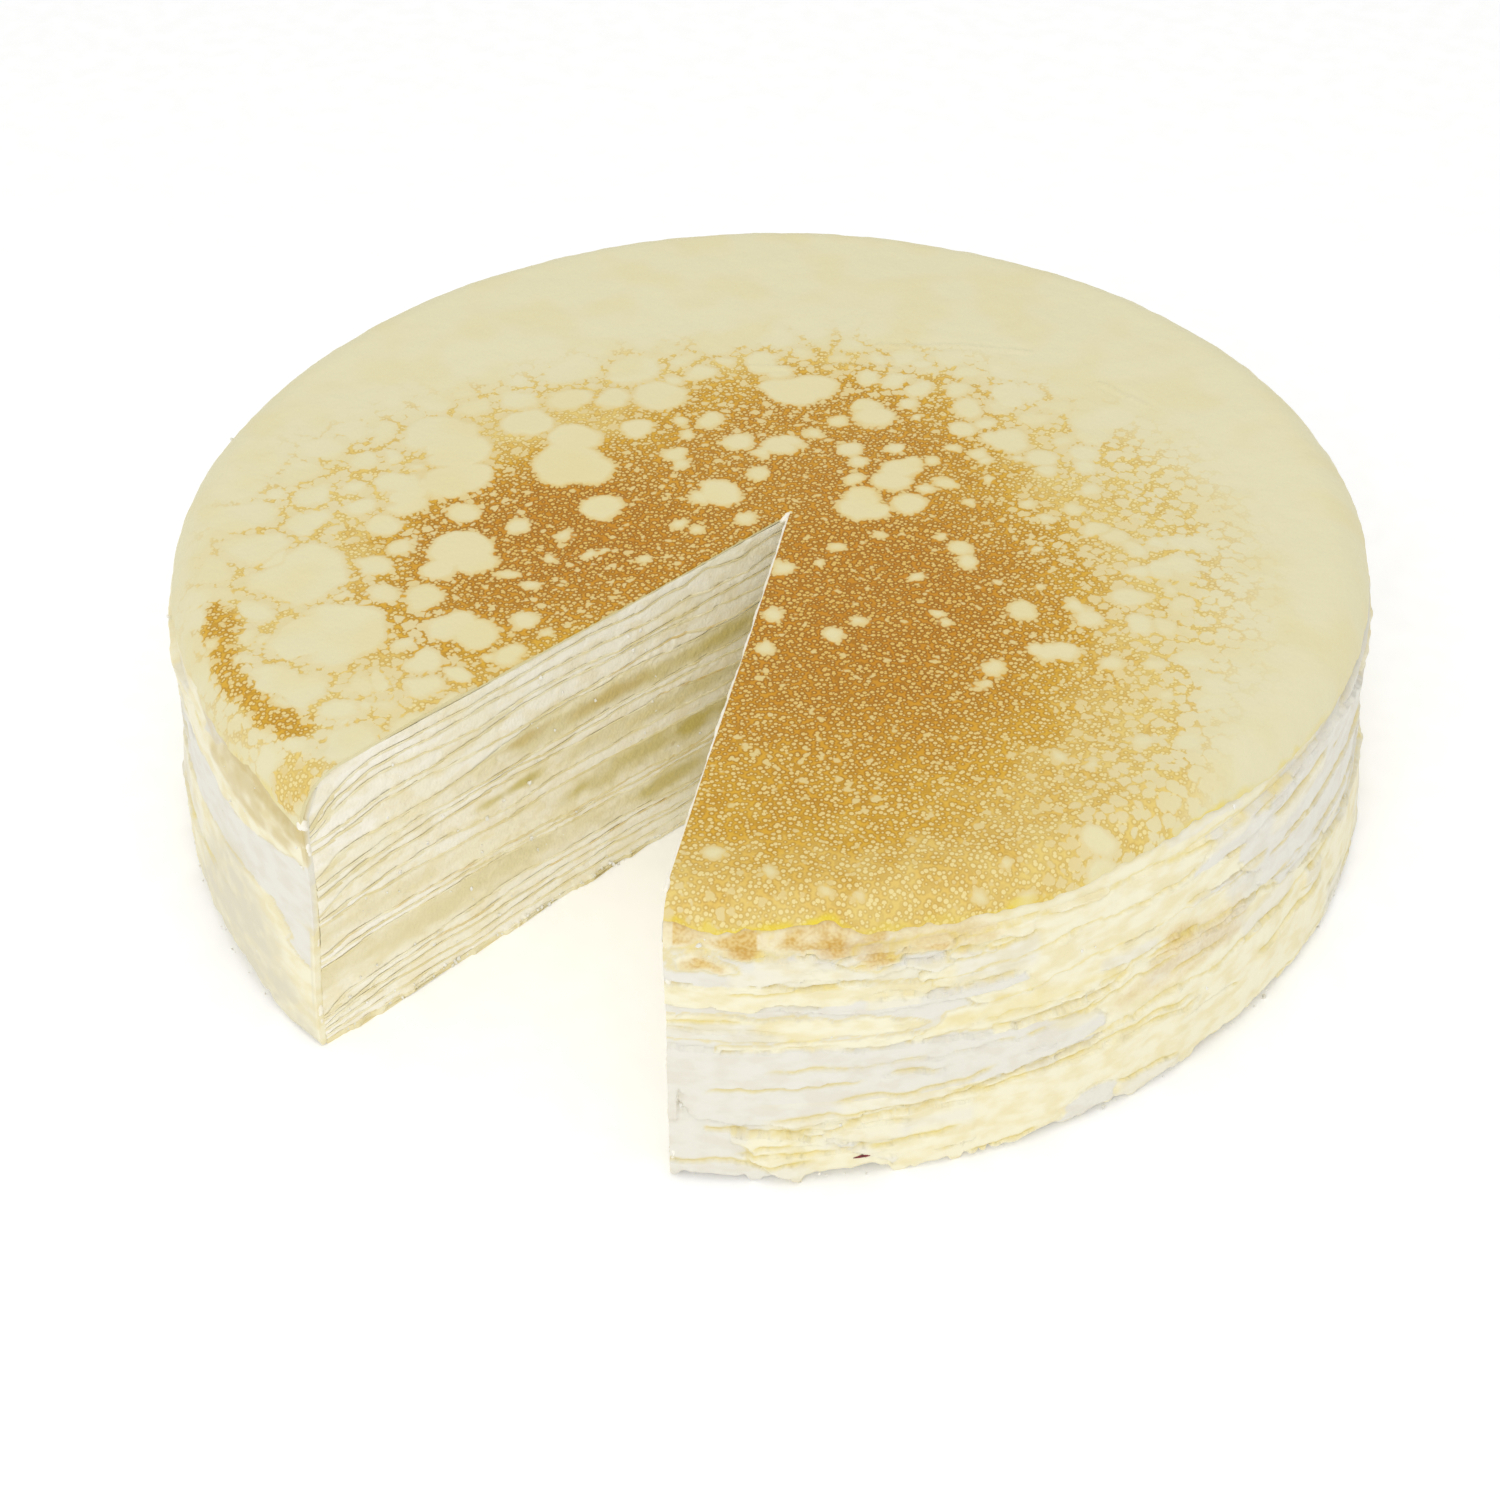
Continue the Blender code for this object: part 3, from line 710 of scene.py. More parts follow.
def stackHeights(places, along, side):
    # the middle height of every crepe at each column, pressed so that none meets the one above
    thin, end, crepe = cake["skin"], cake["cutLength"], cake["crepe"]
    radius = np.hypot(*places.T)
    under = topHeight(*places.T) - thin
    under = under - roundedDrop(cake["radius"] - thin - radius, cake["rimRound"] - thin)
    heights = [under + 0.5 * crepe]
    run = np.where(side == -1, end - 0.93 * along, along)
    turn = np.arctan2(places[:, 1], places[:, 0]) * end
    for number, path in crepePaths.items():
        first = pathHeight(path, along, 1.2)
        middle = 0.6 * pathHeight(path, np.full_like(along, 55.0), 1.2) + 0.4 * pathHeight(path, along, 6.0)
        sway = 0.55 * softNoise(along, 0, 19, 300 + number) + 0.25 * softNoise(along, 0, 7, 330 + number)
        rim = pathHeight(path, np.full_like(along, end), 1.2) + 0.5 * softNoise(turn, 0, 30, 360 + number)
        height = np.where(side == 1, first, np.where(side == -1, middle + sway, rim))
        for size, depth, seed in ((7.5, 0.22, 390), (2.9, 0.15, 400), (1.1, 0.06, 430)):
            height = height + depth * softNoise(run, 0, size, seed + number)
        least = crepe + stack["least"] + 0.05 * softNoise(run, 0, 2.0, 460 + number)
        heights.append(np.minimum(height, heights[-1] - least))
    floor = 0.3 + (crepe + 0.06) * np.arange(cake["crepes"], -1, -1)[:, None]
    return np.maximum(heights, floor)


def makeStack():
    # each layer is rows of the same columns from its top to its bottom, closed on two poles at its heart
    places, normals, along, side = stackColumns()
    heights = stackHeights(places, along, side)
    heart = cutPoint + np.array([0.0, stack["heart"]])
    onCut = np.abs(side)
    endShare = ease(0.55, 1.0, along / cake["cutLength"]) * onCut + (1 - onCut)

    def placeRow(z, out):
        # moves the outer part of each column with the flare of the side, then the edge outwards
        grow = (sideRadius(azimuthOf(*places.T), z) - cake["radius"]) / cake["radius"]
        out = out - 2.0 * (1 - onCut) * ease(7.0, 4.0, z)
        edge = places * (1 + grow * endShare)[:, None] + normals * out[:, None]
        return np.column_stack([edge, z])

    def smear(z):
        # knife marks across the cut, long and shallow, with small crumbs between
        across = along + 200 * (side == -1)
        marks = 0.10 * roughNoise(across, z * 3.0, 7.0, 501, 3) + 0.35 * softNoise(across, z, 26, 503)
        marks += 0.09 * roughNoise(across, z * 1.2, 1.1, 502, 2)
        crumbly = ease(0.1, 0.6, roughNoise(across, z * 2.0, 9.0, 504, 2))
        marks += 0.22 * crumbly * np.maximum(0.0, roughNoise(across, z, 0.9, 505, 2))
        marks += 0.9 * ease(2.0, 0.3, z) * np.maximum(0.0, roughNoise(across, 0 * z, 1.7, 506, 3))
        return marks * onCut

    def paintRow(kind, number, z, share):
        # crepes take toasted flecks and darker lines, fillings a warm drift and the fruit's own lumps
        tint = {key: 0 * z for key in ("crepe", "line", "toast") + fruitTints}
        if kind == "crepe":
            tint["crepe"] = np.ones_like(z)
            line = 0.28 + 0.8 * roughNoise(along + side * 60, 0, 9.0, 580 + number, 4)
            tint["line"] = np.clip(line, 0, 0.9) * onCut
            flecks = ease(-0.15, 0.35, roughNoise(along, z * 2, 2.2, 540 + number, 3)) * onCut
            for start, end, amount in toastedCrepes.get(number, ()):
                stretch = ease(start - 2, start + 2, along) * ease(end + 2, end - 2, along)
                tint["toast"] += 0.65 * amount * flecks * stretch
            return tint
        warm = ease(-0.15, 0.7, roughNoise(along, z * 2.5 + side * 40, 14, 555, 3))
        warm = warm + 0.35 * np.abs(2 * share - 1) ** 3
        tint["crepe"] = np.clip(0.55 * warm, 0, 1) * onCut
        for key, at, atHeight, halfLong, halfHigh, amount in fruitLayers.get(number, ()):
            lump = np.hypot((along - at) / (1.25 * halfLong), (z - atHeight) / (1.1 * halfHigh))
            lump = ease(1.5, 0.2, lump + 0.45 * roughNoise(along, z * 2, 5.0, 560 + number, 4))
            tint[key] = np.maximum(tint[key], min(1.0, 1.15 * amount) * lump * onCut)
        return tint

    def shrunk(edge, pole, share):
        # a row drawn in to a share of its way from the pole, its waves dying out faster than its width
        return pole + (edge - pole) * np.array([share, share, share ** 4])

    def makeLayer(kind, number, high, low, rows, material):
        # rows from high to low, crepes standing out a little further than fillings and torn a little deeper
        tears = roughNoise(along, side * 50, 4.0, 520 + number, 3)
        edges, paints = [], []
        for share in np.linspace(0, 1, rows):
            z = high + (low - high) * share
            swell = 4 * share * (1 - share)
            if kind == "crepe":
                out = (0.08 + 0.12 * tears) * onCut + 0.02 * swell
            else:
                out = (0.05 * tears + 0.06 * swell) * onCut
            edges.append(placeRow(z, out + smear(z)))
            paints.append(paintRow(kind, number, z, share))
        poles = np.array([[*heart, np.mean(high)], [*heart, np.mean(low)]])
        tops, bottoms = ([shrunk(edge, pole, share) for share in stack["shrink"]]
                         for edge, pole in ((edges[0], poles[0]), (edges[-1], poles[1])))
        table = np.array(tops + edges + bottoms[::-1])
        paints = [paints[0]] * len(tops) + paints + [paints[-1]] * len(bottoms)
        paint = {key: np.append([row[key] for row in paints], [0, 0]) for key in paints[0]}
        paint = {key: values for key, values in paint.items() if values.max() > 0}
        points, faces = np.vstack([table.reshape(-1, 3), poles]), tubeFaces(numbered(*table.shape[:2]))
        node = f"{kind}_{number:02d}"
        name = node + ("_layer" if kind == "crepe" else "_filling")
        makePiece(name, points, faces, material, [node], paint)

    half = 1 + 0.22 * softNoise(along, side * 40, 5.0, 590) + 0.18 * softNoise(along, side * 40, 1.7, 591)
    half = 0.5 * cake["crepe"] * half
    for number in range(1, cake["crepes"] + 1):
        top, bottom = heights[number - 1] - half, heights[number] + half
        if number == 1:
            top = heights[0] - 0.5 * cake["crepe"] + 0.06       # pressed up against the top crepe
        if number in fruitLayers:
            makeLayer("fruit", number, top, bottom, stack["fruitRows"], custard)
        else:
            thick = float(np.mean(top - bottom))
            rows = int(np.clip(round(thick / stack["rowHeight"]) + 2, *stack["creamRows"]))
            makeLayer("cream", number, top, bottom, rows, cutCream)
        low = heights[number] - half
        if number == cake["crepes"]:
            low = 0.02 + 0.25 * ease(0.1, 0.6, roughNoise(along, side * 30, 5, 77))
        makeLayer("crepe", number, heights[number] + half, low, stack["crepeRows"], softCrepe)


makeStack()
print("stack laid")

# The side: cream smeared over the stack, with torn crepe edges hanging through it
# Each ribbon is its kind, how far it stands out, and the azimuth in degrees with its lower and upper height;
# tan ones are toasted stains, and the yellow lines, the bruise-coloured bands and the dull ones are painted
# shade; these only paint, and their second number is their strength
sideRibbons = (
    # crepe bands of the front right, with two stains
    ("crepe", 0.30, ((-70, 35, 39.2), (-60, 35.3, 39.5), (-52, 35, 38.8), (-45, 36, 38))),
    ("crepe", 0.10, ((-70, 28.5, 33), (-55, 28.5, 32.6), (-50, 28.2, 31.5), (-48, 29, 30))),
    ("crepe", 0.15, ((-65, 26.2, 27.6), (-55, 26, 28), (-40, 26.4, 27.8))),
    ("crepe", 0.30, ((-47, 38, 46.5), (-38, 37, 48), (-20, 39, 49), (-9, 41, 48))),
    ("crepe", 0.35, ((-46, 31, 38), (-38, 30.5, 39.5), (-30, 33, 40), (-12, 35, 40.5), (-9.5, 37, 39))),
    ("crepe", 0.05, ((-48, 26, 31), (-40, 25.5, 31.5), (-30, 26, 34), (-17, 24, 33), (-8, 22, 30))),
    ("crepe", 0.45, ((-40.5, 17, 25.5), (-33, 17.2, 25.8))),
    ("crepe", 0.20, ((-33, 17, 30), (-16, 14, 27), (-5, 5, 22), (8, 3, 16))),
    ("tan", 0.30, ((-30, 20, 24), (-24, 20, 31), (-16, 21, 29), (-15, 24, 26))),
    ("tan", 0.55, ((-24.6, 26.5, 30.5), (-23, 26.5, 30.5))),
    # the lower flap, from its torn top edge down to the foot, and the bands round the back
    ("crepe", 0.45, ((-62.6, -2, 11), (-59.5, -2, 10.8), (-58, -2, 9.5), (-56, -2, 11), (-53.5, -2, 12.5),
                     (-49, -2, 13.8), (-45, -2, 14.7), (-40, -2, 15.7), (-33, -2, 16.5), (-31, -2, 18),
                     (-20, -2, 18), (-2, -2, 19), (15, -2, 17), (30, -2, 19), (45, -2, 16))),
    ("crepe", 0.50, ((40, -2, 20), (70, -2, 17), (95, -2, 22), (120, -2, 18), (150, -2, 23), (185, -2, 20),
                     (215, -2, 23), (240, -2, 25), (255.5, -2, 25.3))),
    ("crepe", 0.30, ((12, 36, 44), (30, 35, 45), (60, 37, 46), (95, 36, 45), (118, 38, 44))),
    ("crepe", 0.35, ((110, 37, 49), (150, 35, 49), (200, 36, 50), (238, 37, 50), (240, 34.5, 50),
                     (245, 35, 50), (250, 36.6, 50), (255.5, 37.6, 50))),
    ("crepe", 0.20, ((5, 27, 31), (40, 26, 30), (62, 28, 29.5))),
    ("crepe", 0.25, ((80, 27, 32), (120, 26, 31), (150, 27, 30))),
    ("crepe", 0.25, ((172, 28, 32), (205, 27, 31), (222, 28, 30))),
    # white cream over the crepe
    ("cream", 0.45, ((-70, 40.2, 46.8), (-62, 40, 46.4), (-55, 40.5, 46.2), (-50.5, 41, 45))),
    ("cream", 0.70, ((-50.5, 39.2, 43), (-45.5, 39.4, 43.2))),
    ("cream", 0.50, ((-61, 34.2, 34.6), (-56, 33, 35.5), (-50, 32.7, 36), (-40, 33.6, 35.4),
                     (-39, 34, 34.6))),
    ("cream", 0.50, ((-70, 13, 26.4), (-60, 11.8, 26.6), (-52, 13.5, 26.2), (-40, 16, 25), (-33, 17.5, 23),
                     (-31, 19, 20))),
    ("cream", 0.55, ((-22, 40, 46), (-15, 39.5, 46.5), (-8, 40.5, 46))),
    ("cream", 0.70, ((-15, 27, 40), (-10, 23, 45), (3, 24, 44.5), (12, 28, 38))),
    ("cream", 0.50, ((-36, 2, 4), (-33, 1.6, 6.4), (-30, 2, 5.4))),
    ("cream", 0.60, ((-57, 8.0, 10), (-54, 5.2, 7.4), (-51, 2.2, 4.6))),
    ("cream", 0.35, ((237, 25.5, 35), (240, 25.5, 34.2), (245, 25.4, 34.8), (250, 25, 36.4),
                     (255.5, 24.6, 37.4))),
    ("cream", 0.35, ((186, 24, 35), (215, 25, 36), (238, 25.4, 35))),
    ("cream", 0.50, ((236, 43.5, 49.5), (239, 44, 49.5), (241.5, 47, 49))),
    ("cream", 0.40, ((20, 19, 26), (60, 18, 27), (100, 23, 28), (150, 23, 27), (180, 21, 28))),
    # the torn crepe under the hem, with its toasted scraps
    ("crepe", 0.35, ((-70, 46.9, 53), (-66, 46.4, 53), (-62, 46.2, 53), (-58, 45.4, 53), (-53, 45.0, 53),
                     (-49, 45.4, 53), (-40, 45.4, 53), (-30, 46.4, 53), (-20, 46.8, 53), (-10, 46.8, 53),
                     (-6, 47, 53))),
    ("toast", 0.60, ((-70.5, 46.8, 51), (-67.4, 46.9, 50.6))),
    ("toast", 0.50, ((-67.8, 43.2, 46.2), (-65.2, 43, 46))),
    ("toast", 0.55, ((-64.4, 45.5, 48.6), (-61.2, 45.7, 49.2))),
    ("toast", 0.65, ((-60.2, 46, 51), (-56, 45.2, 51.4), (-53.0, 46.0, 51))),
    ("toast", 0.70, ((-54.4, 42, 45.8), (-50.2, 42.2, 45.8))),
    ("toast", 0.45, ((-50.8, 43, 46.8), (-45.3, 43.2, 47))),
    ("toast", 0.35, ((-45.9, 41, 43.2), (-40.2, 41.2, 43.4))),
    ("tan", 0.35, ((-70, 46.5, 52), (-60, 45.8, 52), (-52, 44, 52), (-45, 42.5, 50), (-42, 43, 47))),
    # painted yellow shade in lines and pockets under torn edges, and painted shade on the left end
    ("yolk", 0.30, ((-54, 28.2, 28.9), (-50, 28.2, 28.8))),
    ("yolk", 0.30, ((-47, 26.5, 30.5), (-40, 26, 31), (-32, 27, 30))),
    ("yolk", 0.35, ((-19, 33, 35), (-15, 33.2, 35))),
    ("yolk", 0.35, ((-22.2, 48.2, 50.2), (-19, 48.2, 50))),
    ("yolk", 0.35, ((249, 24.2, 25), (254, 24.2, 24.9))),
    # painted shade under the top crepe where it overhangs the left end
    ("bruise", 0.80, ((238.5, 45.5, 54), (246, 43.0, 54), (250, 42.0, 54), (255.5, 40.5, 54))),
    ("bruise", 0.60, ((236, 41, 54), (246, 38, 54), (255.5, 37.5, 54))),
    # painted shade over the lower left side, which the lamps light less
    ("dull", 1.00, ((228, -20, 33), (236, -20, 31), (246, -20, 30), (255.5, -20, 29))),
)
wall = {
    # stretches of columns: the azimuth where each ends, and its spacing in mm
    "steps": ((-5.0, 0.32), (22.0, 0.42), (214.0, 1.15), (360.0, 0.42)),
    "joints": (16.5, 34.0), "top": 51.8,        # heights where one piece ends and the next begins
    "rows": 60, "innerRows": 5,
    # azimuth and height of the torn foot
    "hem": ((-70, 0.9), (-66, 1.6), (-60, 1.2), (-56, 2.2), (-53, 3), (-50, 0.6), (-47, 0.9), (-40.7, 1.3),
            (-35, 1.5), (-30, 1), (-21, 2.3), (-15, 2.3), (0, 1.4), (40, 2), (90, 1.2), (150, 1.8),
            (200, 1.5), (226, 2.2), (230, 4.0), (236, 3.6), (241, 3.4), (246, 2.4), (251, 1.0), (255.2, 0.3)),
    "relief": (-1.1, 1.4),                  # how far the side may draw in and stand out
    "edges": 230, "seed": 11,               # torn edges drawn at random
    "edgeLength": (3.0, 26.0),              # their half lengths
    "edgeLift": (0.15, 0.6),                # and how far they stand out
}
stainsAndShade = {"tan": "toast", "bruise": "bruise", "yolk": "yolk", "dull": "dull"}      # the tint each one adds to
perDegree = math.radians(1) * cake["radius"]        # mm round the side


def blotches(arc, z, base, seed):
    # uneven strength of a browned or stained sheet, from 0 to 1
    return np.clip(base + (1.45 - base) * roughNoise(arc, z * 1.3, 3.2, seed + 5, 3), 0, 1)


def cover(relief, paint, arc, z, inside, kind, lift, seed):
    # lays one torn sheet over what is there: inside is the distance in mm from its edge;
    # a stain or a band of painted shade only paints, and its lift says how strong it is
    if kind in stainsAndShade:
        # the painted shade of the left skirt fades in over 7 mm, the other bands over 1.6 mm
        fade = 7.0 if kind == "dull" else 1.6
        mask = lift * ease(-0.3, fade, inside) * blotches(arc, z, 0.85, seed)
        return relief, {**paint, stainsAndShade[kind]: np.maximum(paint[stainsAndShade[kind]], mask)}
    mask = ease(-0.10, 0.14, inside)
    if kind == "cream":
        folds = 0.20 * roughNoise(arc, z * 3.0, 9, seed + 2, 3)
        curl = 0.10 * roughNoise(arc, z * 2.0, 1.8, seed + 3, 2)
    else:
        folds = 0.20 * softNoise(arc, z * 0.3, 5.5, seed) + 0.10 * roughNoise(arc, z, 1.9, seed + 1, 2)
        curl = 0.32 * bell(inside - 0.4, 0.45) * (0.6 + 0.8 * softNoise(arc, z * 0.5, 3.0, seed + 4))
    below = relief - 0.20 * bell(inside + 0.3, 0.25) * (lift > 0.15)
    relief = below * (1 - mask) + (lift + folds + curl) * mask
    new = {key: values * (1 - mask) for key, values in paint.items()}
    if kind != "cream":
        new["crepe"] += mask
        # a thin yellow line just outside each crepe sheet's edge is painted shade under the sheet
        new["yolk"] = np.maximum(new["yolk"], 0.45 * bell(inside + 0.22, 0.2) * (1 - mask))
    if kind == "toast":
        new["toast"] += blotches(arc, z, 0.75, seed) * ease(-0.1, 0.9, inside) * mask
    return relief, new


def layRibbons(relief, paint, arc, azimuth, z, tear):
    # each ribbon between its lower and upper edge, both torn and waved, with ragged ends
    for number, (kind, lift, places) in enumerate(sideRibbons):
        places = np.array(places, float)
        start, end = places[0, 0], places[-1, 0]
        columns = np.where((azimuth[0] > start - 2) & (azimuth[0] < end + 2))[0]
        if not len(columns):
            continue
        part = slice(columns[0], columns[-1] + 1)
        here, up, run = azimuth[:, part], z[:, part], arc[:, part]
        low, high = (np.interp(here, places[:, 0], places[:, k]) for k in (1, 2))
        slant = 0.5 * (up - 0.5 * (low + high)) * (1 - 2 * (number % 2))
        ends = np.minimum(here - start, end - here) * perDegree
        ends = 0.6 * ends + 1.3 * softNoise(up, here * 0.1, 2.6, 610 + number) + slant
        # a ribbon that starts or ends at a cut runs right up to it
        ends = np.where(here < -69, 9.0, ends) if start < -69.5 else ends
        ends = np.where(here > 254.5, 9.0, ends) if end > 255 else ends
        if kind in stainsAndShade:
            ends = ends + 1.5
        inside = np.minimum(np.minimum(up - low, high - up), ends)
        if kind == "toast":
            tall, wide = 0.5 * (high - low), 0.5 * (end - start) * perDegree
            inside = tall * (1.2 - np.hypot((up - low - tall) / tall, np.clip(1 - ends / wide, -2, 2)))
        inside = inside + tear[:, part] + 0.45 * softNoise(run, up * 0.3, 6, 620 + number)
        below = {key: paint[key][:, part] for key in sideTints}
        laid = cover(relief[:, part], below, run, up, inside, kind, lift, 650 + 9 * number)
        relief[:, part] = laid[0]
        for key in sideTints:
            paint[key][:, part] = laid[1][key]


def tearEdges(relief, paint, arc, z, tear):
    # torn edges: each steps out along a ragged line that runs nearly level, and sinks back behind it
    chance = np.random.default_rng(wall["seed"])
    shortest, longest = wall["edgeLength"]
    least, most = wall["edgeLift"]
    for number in range(wall["edges"]):
        at, height, draw = chance.uniform(-70, 236), chance.uniform(1, 48), chance.uniform(size=6)
        halfLong = shortest + draw[0] ** 1.6 * (longest - shortest)
        lift = least + draw[1] * (most - least)
        middle, fade = math.radians(at) * cake["radius"], 1.2 + 4.0 * draw[2]
        columns = np.where(np.abs(arc[0] - middle) < halfLong)[0]
        if not len(columns) or height + 12 < z.min() or height - 12 > z.max():
            continue
        part = slice(columns[0], columns[-1] + 1)
        here, up = arc[:, part], z[:, part]
        slope = 0.16 * (draw[3] - 0.5) * (here - middle)
        line = height + slope + 1.1 * roughNoise(here, number * 37, 7, 1300 + number, 5)
        inside = (line - up) * (1 if draw[4] < 0.7 else -1) + 0.35 * tear[:, part]
        taper = ease(1.0, 0.75, np.abs((here - middle) / halfLong))
        shape = ease(-0.08, 0.14, inside)
        sunk = np.exp(-np.maximum(inside, 0) / fade)
        relief[:, part] += taper * (lift * shape * sunk - 0.22 * bell(inside + 0.22, 0.22))
        patch = 0.55 * taper * shape * ease(fade * 1.6, fade * 0.8, inside)
        share = paint["crepe"][:, part]
        kind = 1.0 if draw[5] < 0.12 + 0.5 * float(share.mean()) else 0.0
        paint["crepe"][:, part] = share * (1 - patch) + patch * kind
        # painted yellow shade in the groove beside each torn edge
        groove = taper * bell(inside + 0.3, 0.35) * ease(0.2, 0.6, draw[3] + 0.6 * tear[:, part])
        paint["yolk"][:, part] = np.maximum(paint["yolk"][:, part], 0.55 * groove)


def sideRelief(azimuth, z):
    # how far the side stands out at each place, and the paint of what is there, sheet over sheet
    arc = np.radians(azimuth) * cake["radius"]
    relief = 0.20 * roughNoise(arc, z * 3.2, 16, 601, 4) + 0.10 * roughNoise(arc, z * 2.5, 3.0, 602, 3)
    paint = {key: np.zeros_like(arc) for key in sideTints}
    tear = 0.60 * roughNoise(arc, z * 1.2, 3.2, 603, 4) + 0.7 * softNoise(arc, z * 0.4, 9, 604)
    tear = tear + 0.2 * roughNoise(arc, z, 1.0, 605, 2)
    layRibbons(relief, paint, arc, azimuth, z, tear)
    tearEdges(relief, paint, arc, z, tear)
    # the painted shade of the left skirt fades out just before the cut
    paint["dull"] *= ease(rimEnd - 0.05, rimEnd - 0.9, azimuth)
    # the left end is smooth and draws in under the overhanging top crepe
    calm = ease(226, 236, azimuth)
    drawn = ease(41.5, 46, z) * ease(254.6, 252.5, azimuth)
    relief = relief * (1 - 0.8 * calm) + calm * (0.25 - 1.15 * drawn)
    return np.clip(relief, *wall["relief"]), paint


def makeSide():
    # azimuth by height: an outer face of cream and crepe over a plain inner one, in three pieces
    azimuth, start = [], rimStart
    for end, spacing in wall["steps"]:
        end = min(end, rimEnd)
        azimuth.append(np.linspace(start, end, int((end - start) * perDegree / spacing), endpoint=False))
        start = end
    azimuth = np.append(np.concatenate(azimuth), rimEnd)
    arc = np.radians(azimuth) * cake["radius"]
    hem = pathHeight(wall["hem"], azimuth, 0.6) + 0.6 * roughNoise(arc, 0, 5, 701, 5)
    hem = hem + 0.3 * softNoise(arc, 0, 1.1, 702) - 1.3 * ease(0.45, 0.95, softNoise(arc, 0, 3.1, 703))
    hem += 1.1 * roughNoise(arc, 0, 2.4, 704, 3) * ease(224, 230, azimuth) * ease(251, 246, azimuth)
    hem = np.maximum(hem, 0.05)
    directions = heading(azimuth)
    bend, sunk = cake["rimRound"], cake["skin"] + 0.2
    widest = cake["widest"] / np.maximum(np.abs(directions[:, 0]), np.maximum(directions[:, 1], 0.6))
    coat = cake["coat"] * (0.64 + 0.36 * ease(0.0, 2.5, np.minimum(azimuth - rimStart, rimEnd - azimuth)))

    def underSkin(z):
        # largest radius that stays under the rounded edge of the top crepe
        above = np.clip(z - (cake["level"] - bend), 0, bend - sunk - 0.01)
        return np.where(above > 0, cake["radius"] - bend + np.sqrt((bend - sunk) ** 2 - above ** 2), 200.0)

    def face(radius, z):
        # places at a radius and height on every azimuth
        return np.concatenate([directions * radius[..., None], z[..., None]], axis=-1)

    def spread(low, high, name, node):
        # a band of the wall between two heights: its outer face from the relief, its inner one a coat behind
        z, inner = (low + (high - low) * np.linspace(0, 1, wall[key])[:, None]
                    for key in ("rows", "innerRows"))
        relief, paint = sideRelief(np.broadcast_to(azimuth, z.shape), z)
        radius = sideRadius(azimuth, z) + relief - 0.3 * ease(0.8, 0.0, z - hem)
        radius = np.minimum(np.minimum(radius, underSkin(z)), widest)
        behind = np.minimum(sideRadius(azimuth, inner), underSkin(inner)) - coat
        table = np.vstack([face(radius, z), face(behind, inner)[::-1]])
        ids = numbered(*table.shape[:2])
        ends = [zipFaces(ids[:len(z), column], ids[len(z):, column][::-1]) for column in (0, -1)]
        paint = {key: np.vstack([values] + [values[:1]] * len(inner)) for key, values in paint.items()}
        faces = [gridFaces(ids, roundRows=True)] + ends
        makePiece(name, table.reshape(-1, 3), faces, sideMix, [node], paint, recalculate=True)

    lower, upper, top = (np.full_like(azimuth, height) for height in (*wall["joints"], wall["top"]))
    spread(hem, lower, "side_lower", "crepe_09")
    spread(lower, upper, "side_middle", "crepe_09")
    spread(upper, top, "side_upper", "crepe_01")


makeSide()
print("side spread")

# Odds and ends: beads of cream at the cuts, crumbs, and one dark red fleck
bits = {
    "bead": 0.42, "beadSides": 10,
    # azimuth, height and seed of each corner's cream
    "corners": (("left", rimEnd - 0.3, 49.2, 811), ("right", rimStart + 0.25, 46.5, 821)),
    "crumbs": 420, "crumbSize": (0.12, 0.42), "seed": 5,
    "fleck": (-53.5, 4.8), "fleckHalf": (1.9, 0.3),         # azimuth and height, half length and half width
}


def makeBead(name, centre, thick, across, upwards):
    # a round bar along a path, its rings laid out in two directions across the path
    turn = np.linspace(0, 2 * math.pi, bits["beadSides"], endpoint=False)[None, :, None]
    rings = centre[:, None, :] + thick[:, None, None] * (np.cos(turn) * across + np.sin(turn) * upwards)
    makeTube(name, rings, cutCream)


def makeBeads():
    # cream squeezed out along the top of the second cut, down both outer corners, and where the cuts meet
    upwards = np.array([0, 0, 1.0])
    out = heading(cake["secondCut"] - 90)
    along = np.linspace(0.4, rimReach(secondDirection, cake["radius"] - 4.5), 420)
    centre = cutPoint + along[:, None] * secondDirection
    centre = centre + out * (0.12 + 0.10 * roughNoise(along, 0, 5, 801)[:, None])
    height = topHeight(*centre.T) - 0.62 - 0.1 * roughNoise(along, 0, 8, 802)
    thick = bits["bead"] * (0.85 + 0.5 * roughNoise(along, 0, 3.0, 803)) * ease(0, 2, along) ** 0.5
    makeBead("cream_bead", np.column_stack([centre, height]), thick, np.append(out, 0.0), upwards)
    for name, azimuth, high, seed in bits["corners"]:
        z = np.linspace(0.7, high, 240)
        outwards, tangent = (np.append(heading(azimuth + turn), 0.0) for turn in (0, 90))
        torn = ease(44.5, 46.5, z) * (name == "left")
        radius = sideRadius(np.full_like(z, azimuth), z) - 0.6
        radius = radius + 0.45 * roughNoise(z, 0, 3.5, seed) + 0.35 * torn
        centre = outwards * radius[:, None] + tangent * 0.4 * roughNoise(z, 0, 2.6, seed + 1)[:, None]
        centre[:, 2] = z
        thick = 0.28 + 0.55 * np.maximum(0, roughNoise(z, 0, 2.2, seed + 2, 3))
        thick = thick + torn * (0.32 + 0.4 * roughNoise(z, 0, 1.4, seed + 3, 2))
        thick = np.minimum(thick * ease(high + 0.1, high - 1.2, z) + 0.05, z)
        makeBead("cream_corner_" + name, centre, thick, outwards, tangent)
    along = np.linspace(-0.9, 2.6, 30)
    centre = cutPoint + along[:, None] * firstDirection
    centre = np.column_stack([centre, np.full(len(along), topHeight(*cutPoint) - 0.75)])
    thick = 0.85 * np.sqrt(np.maximum(0.02, 1 - ((along - 0.8) / 1.75) ** 2))
    makeBead("cream_apex", centre, thick, np.append(heading(cake["firstCut"] + 90), 0.0), upwards)


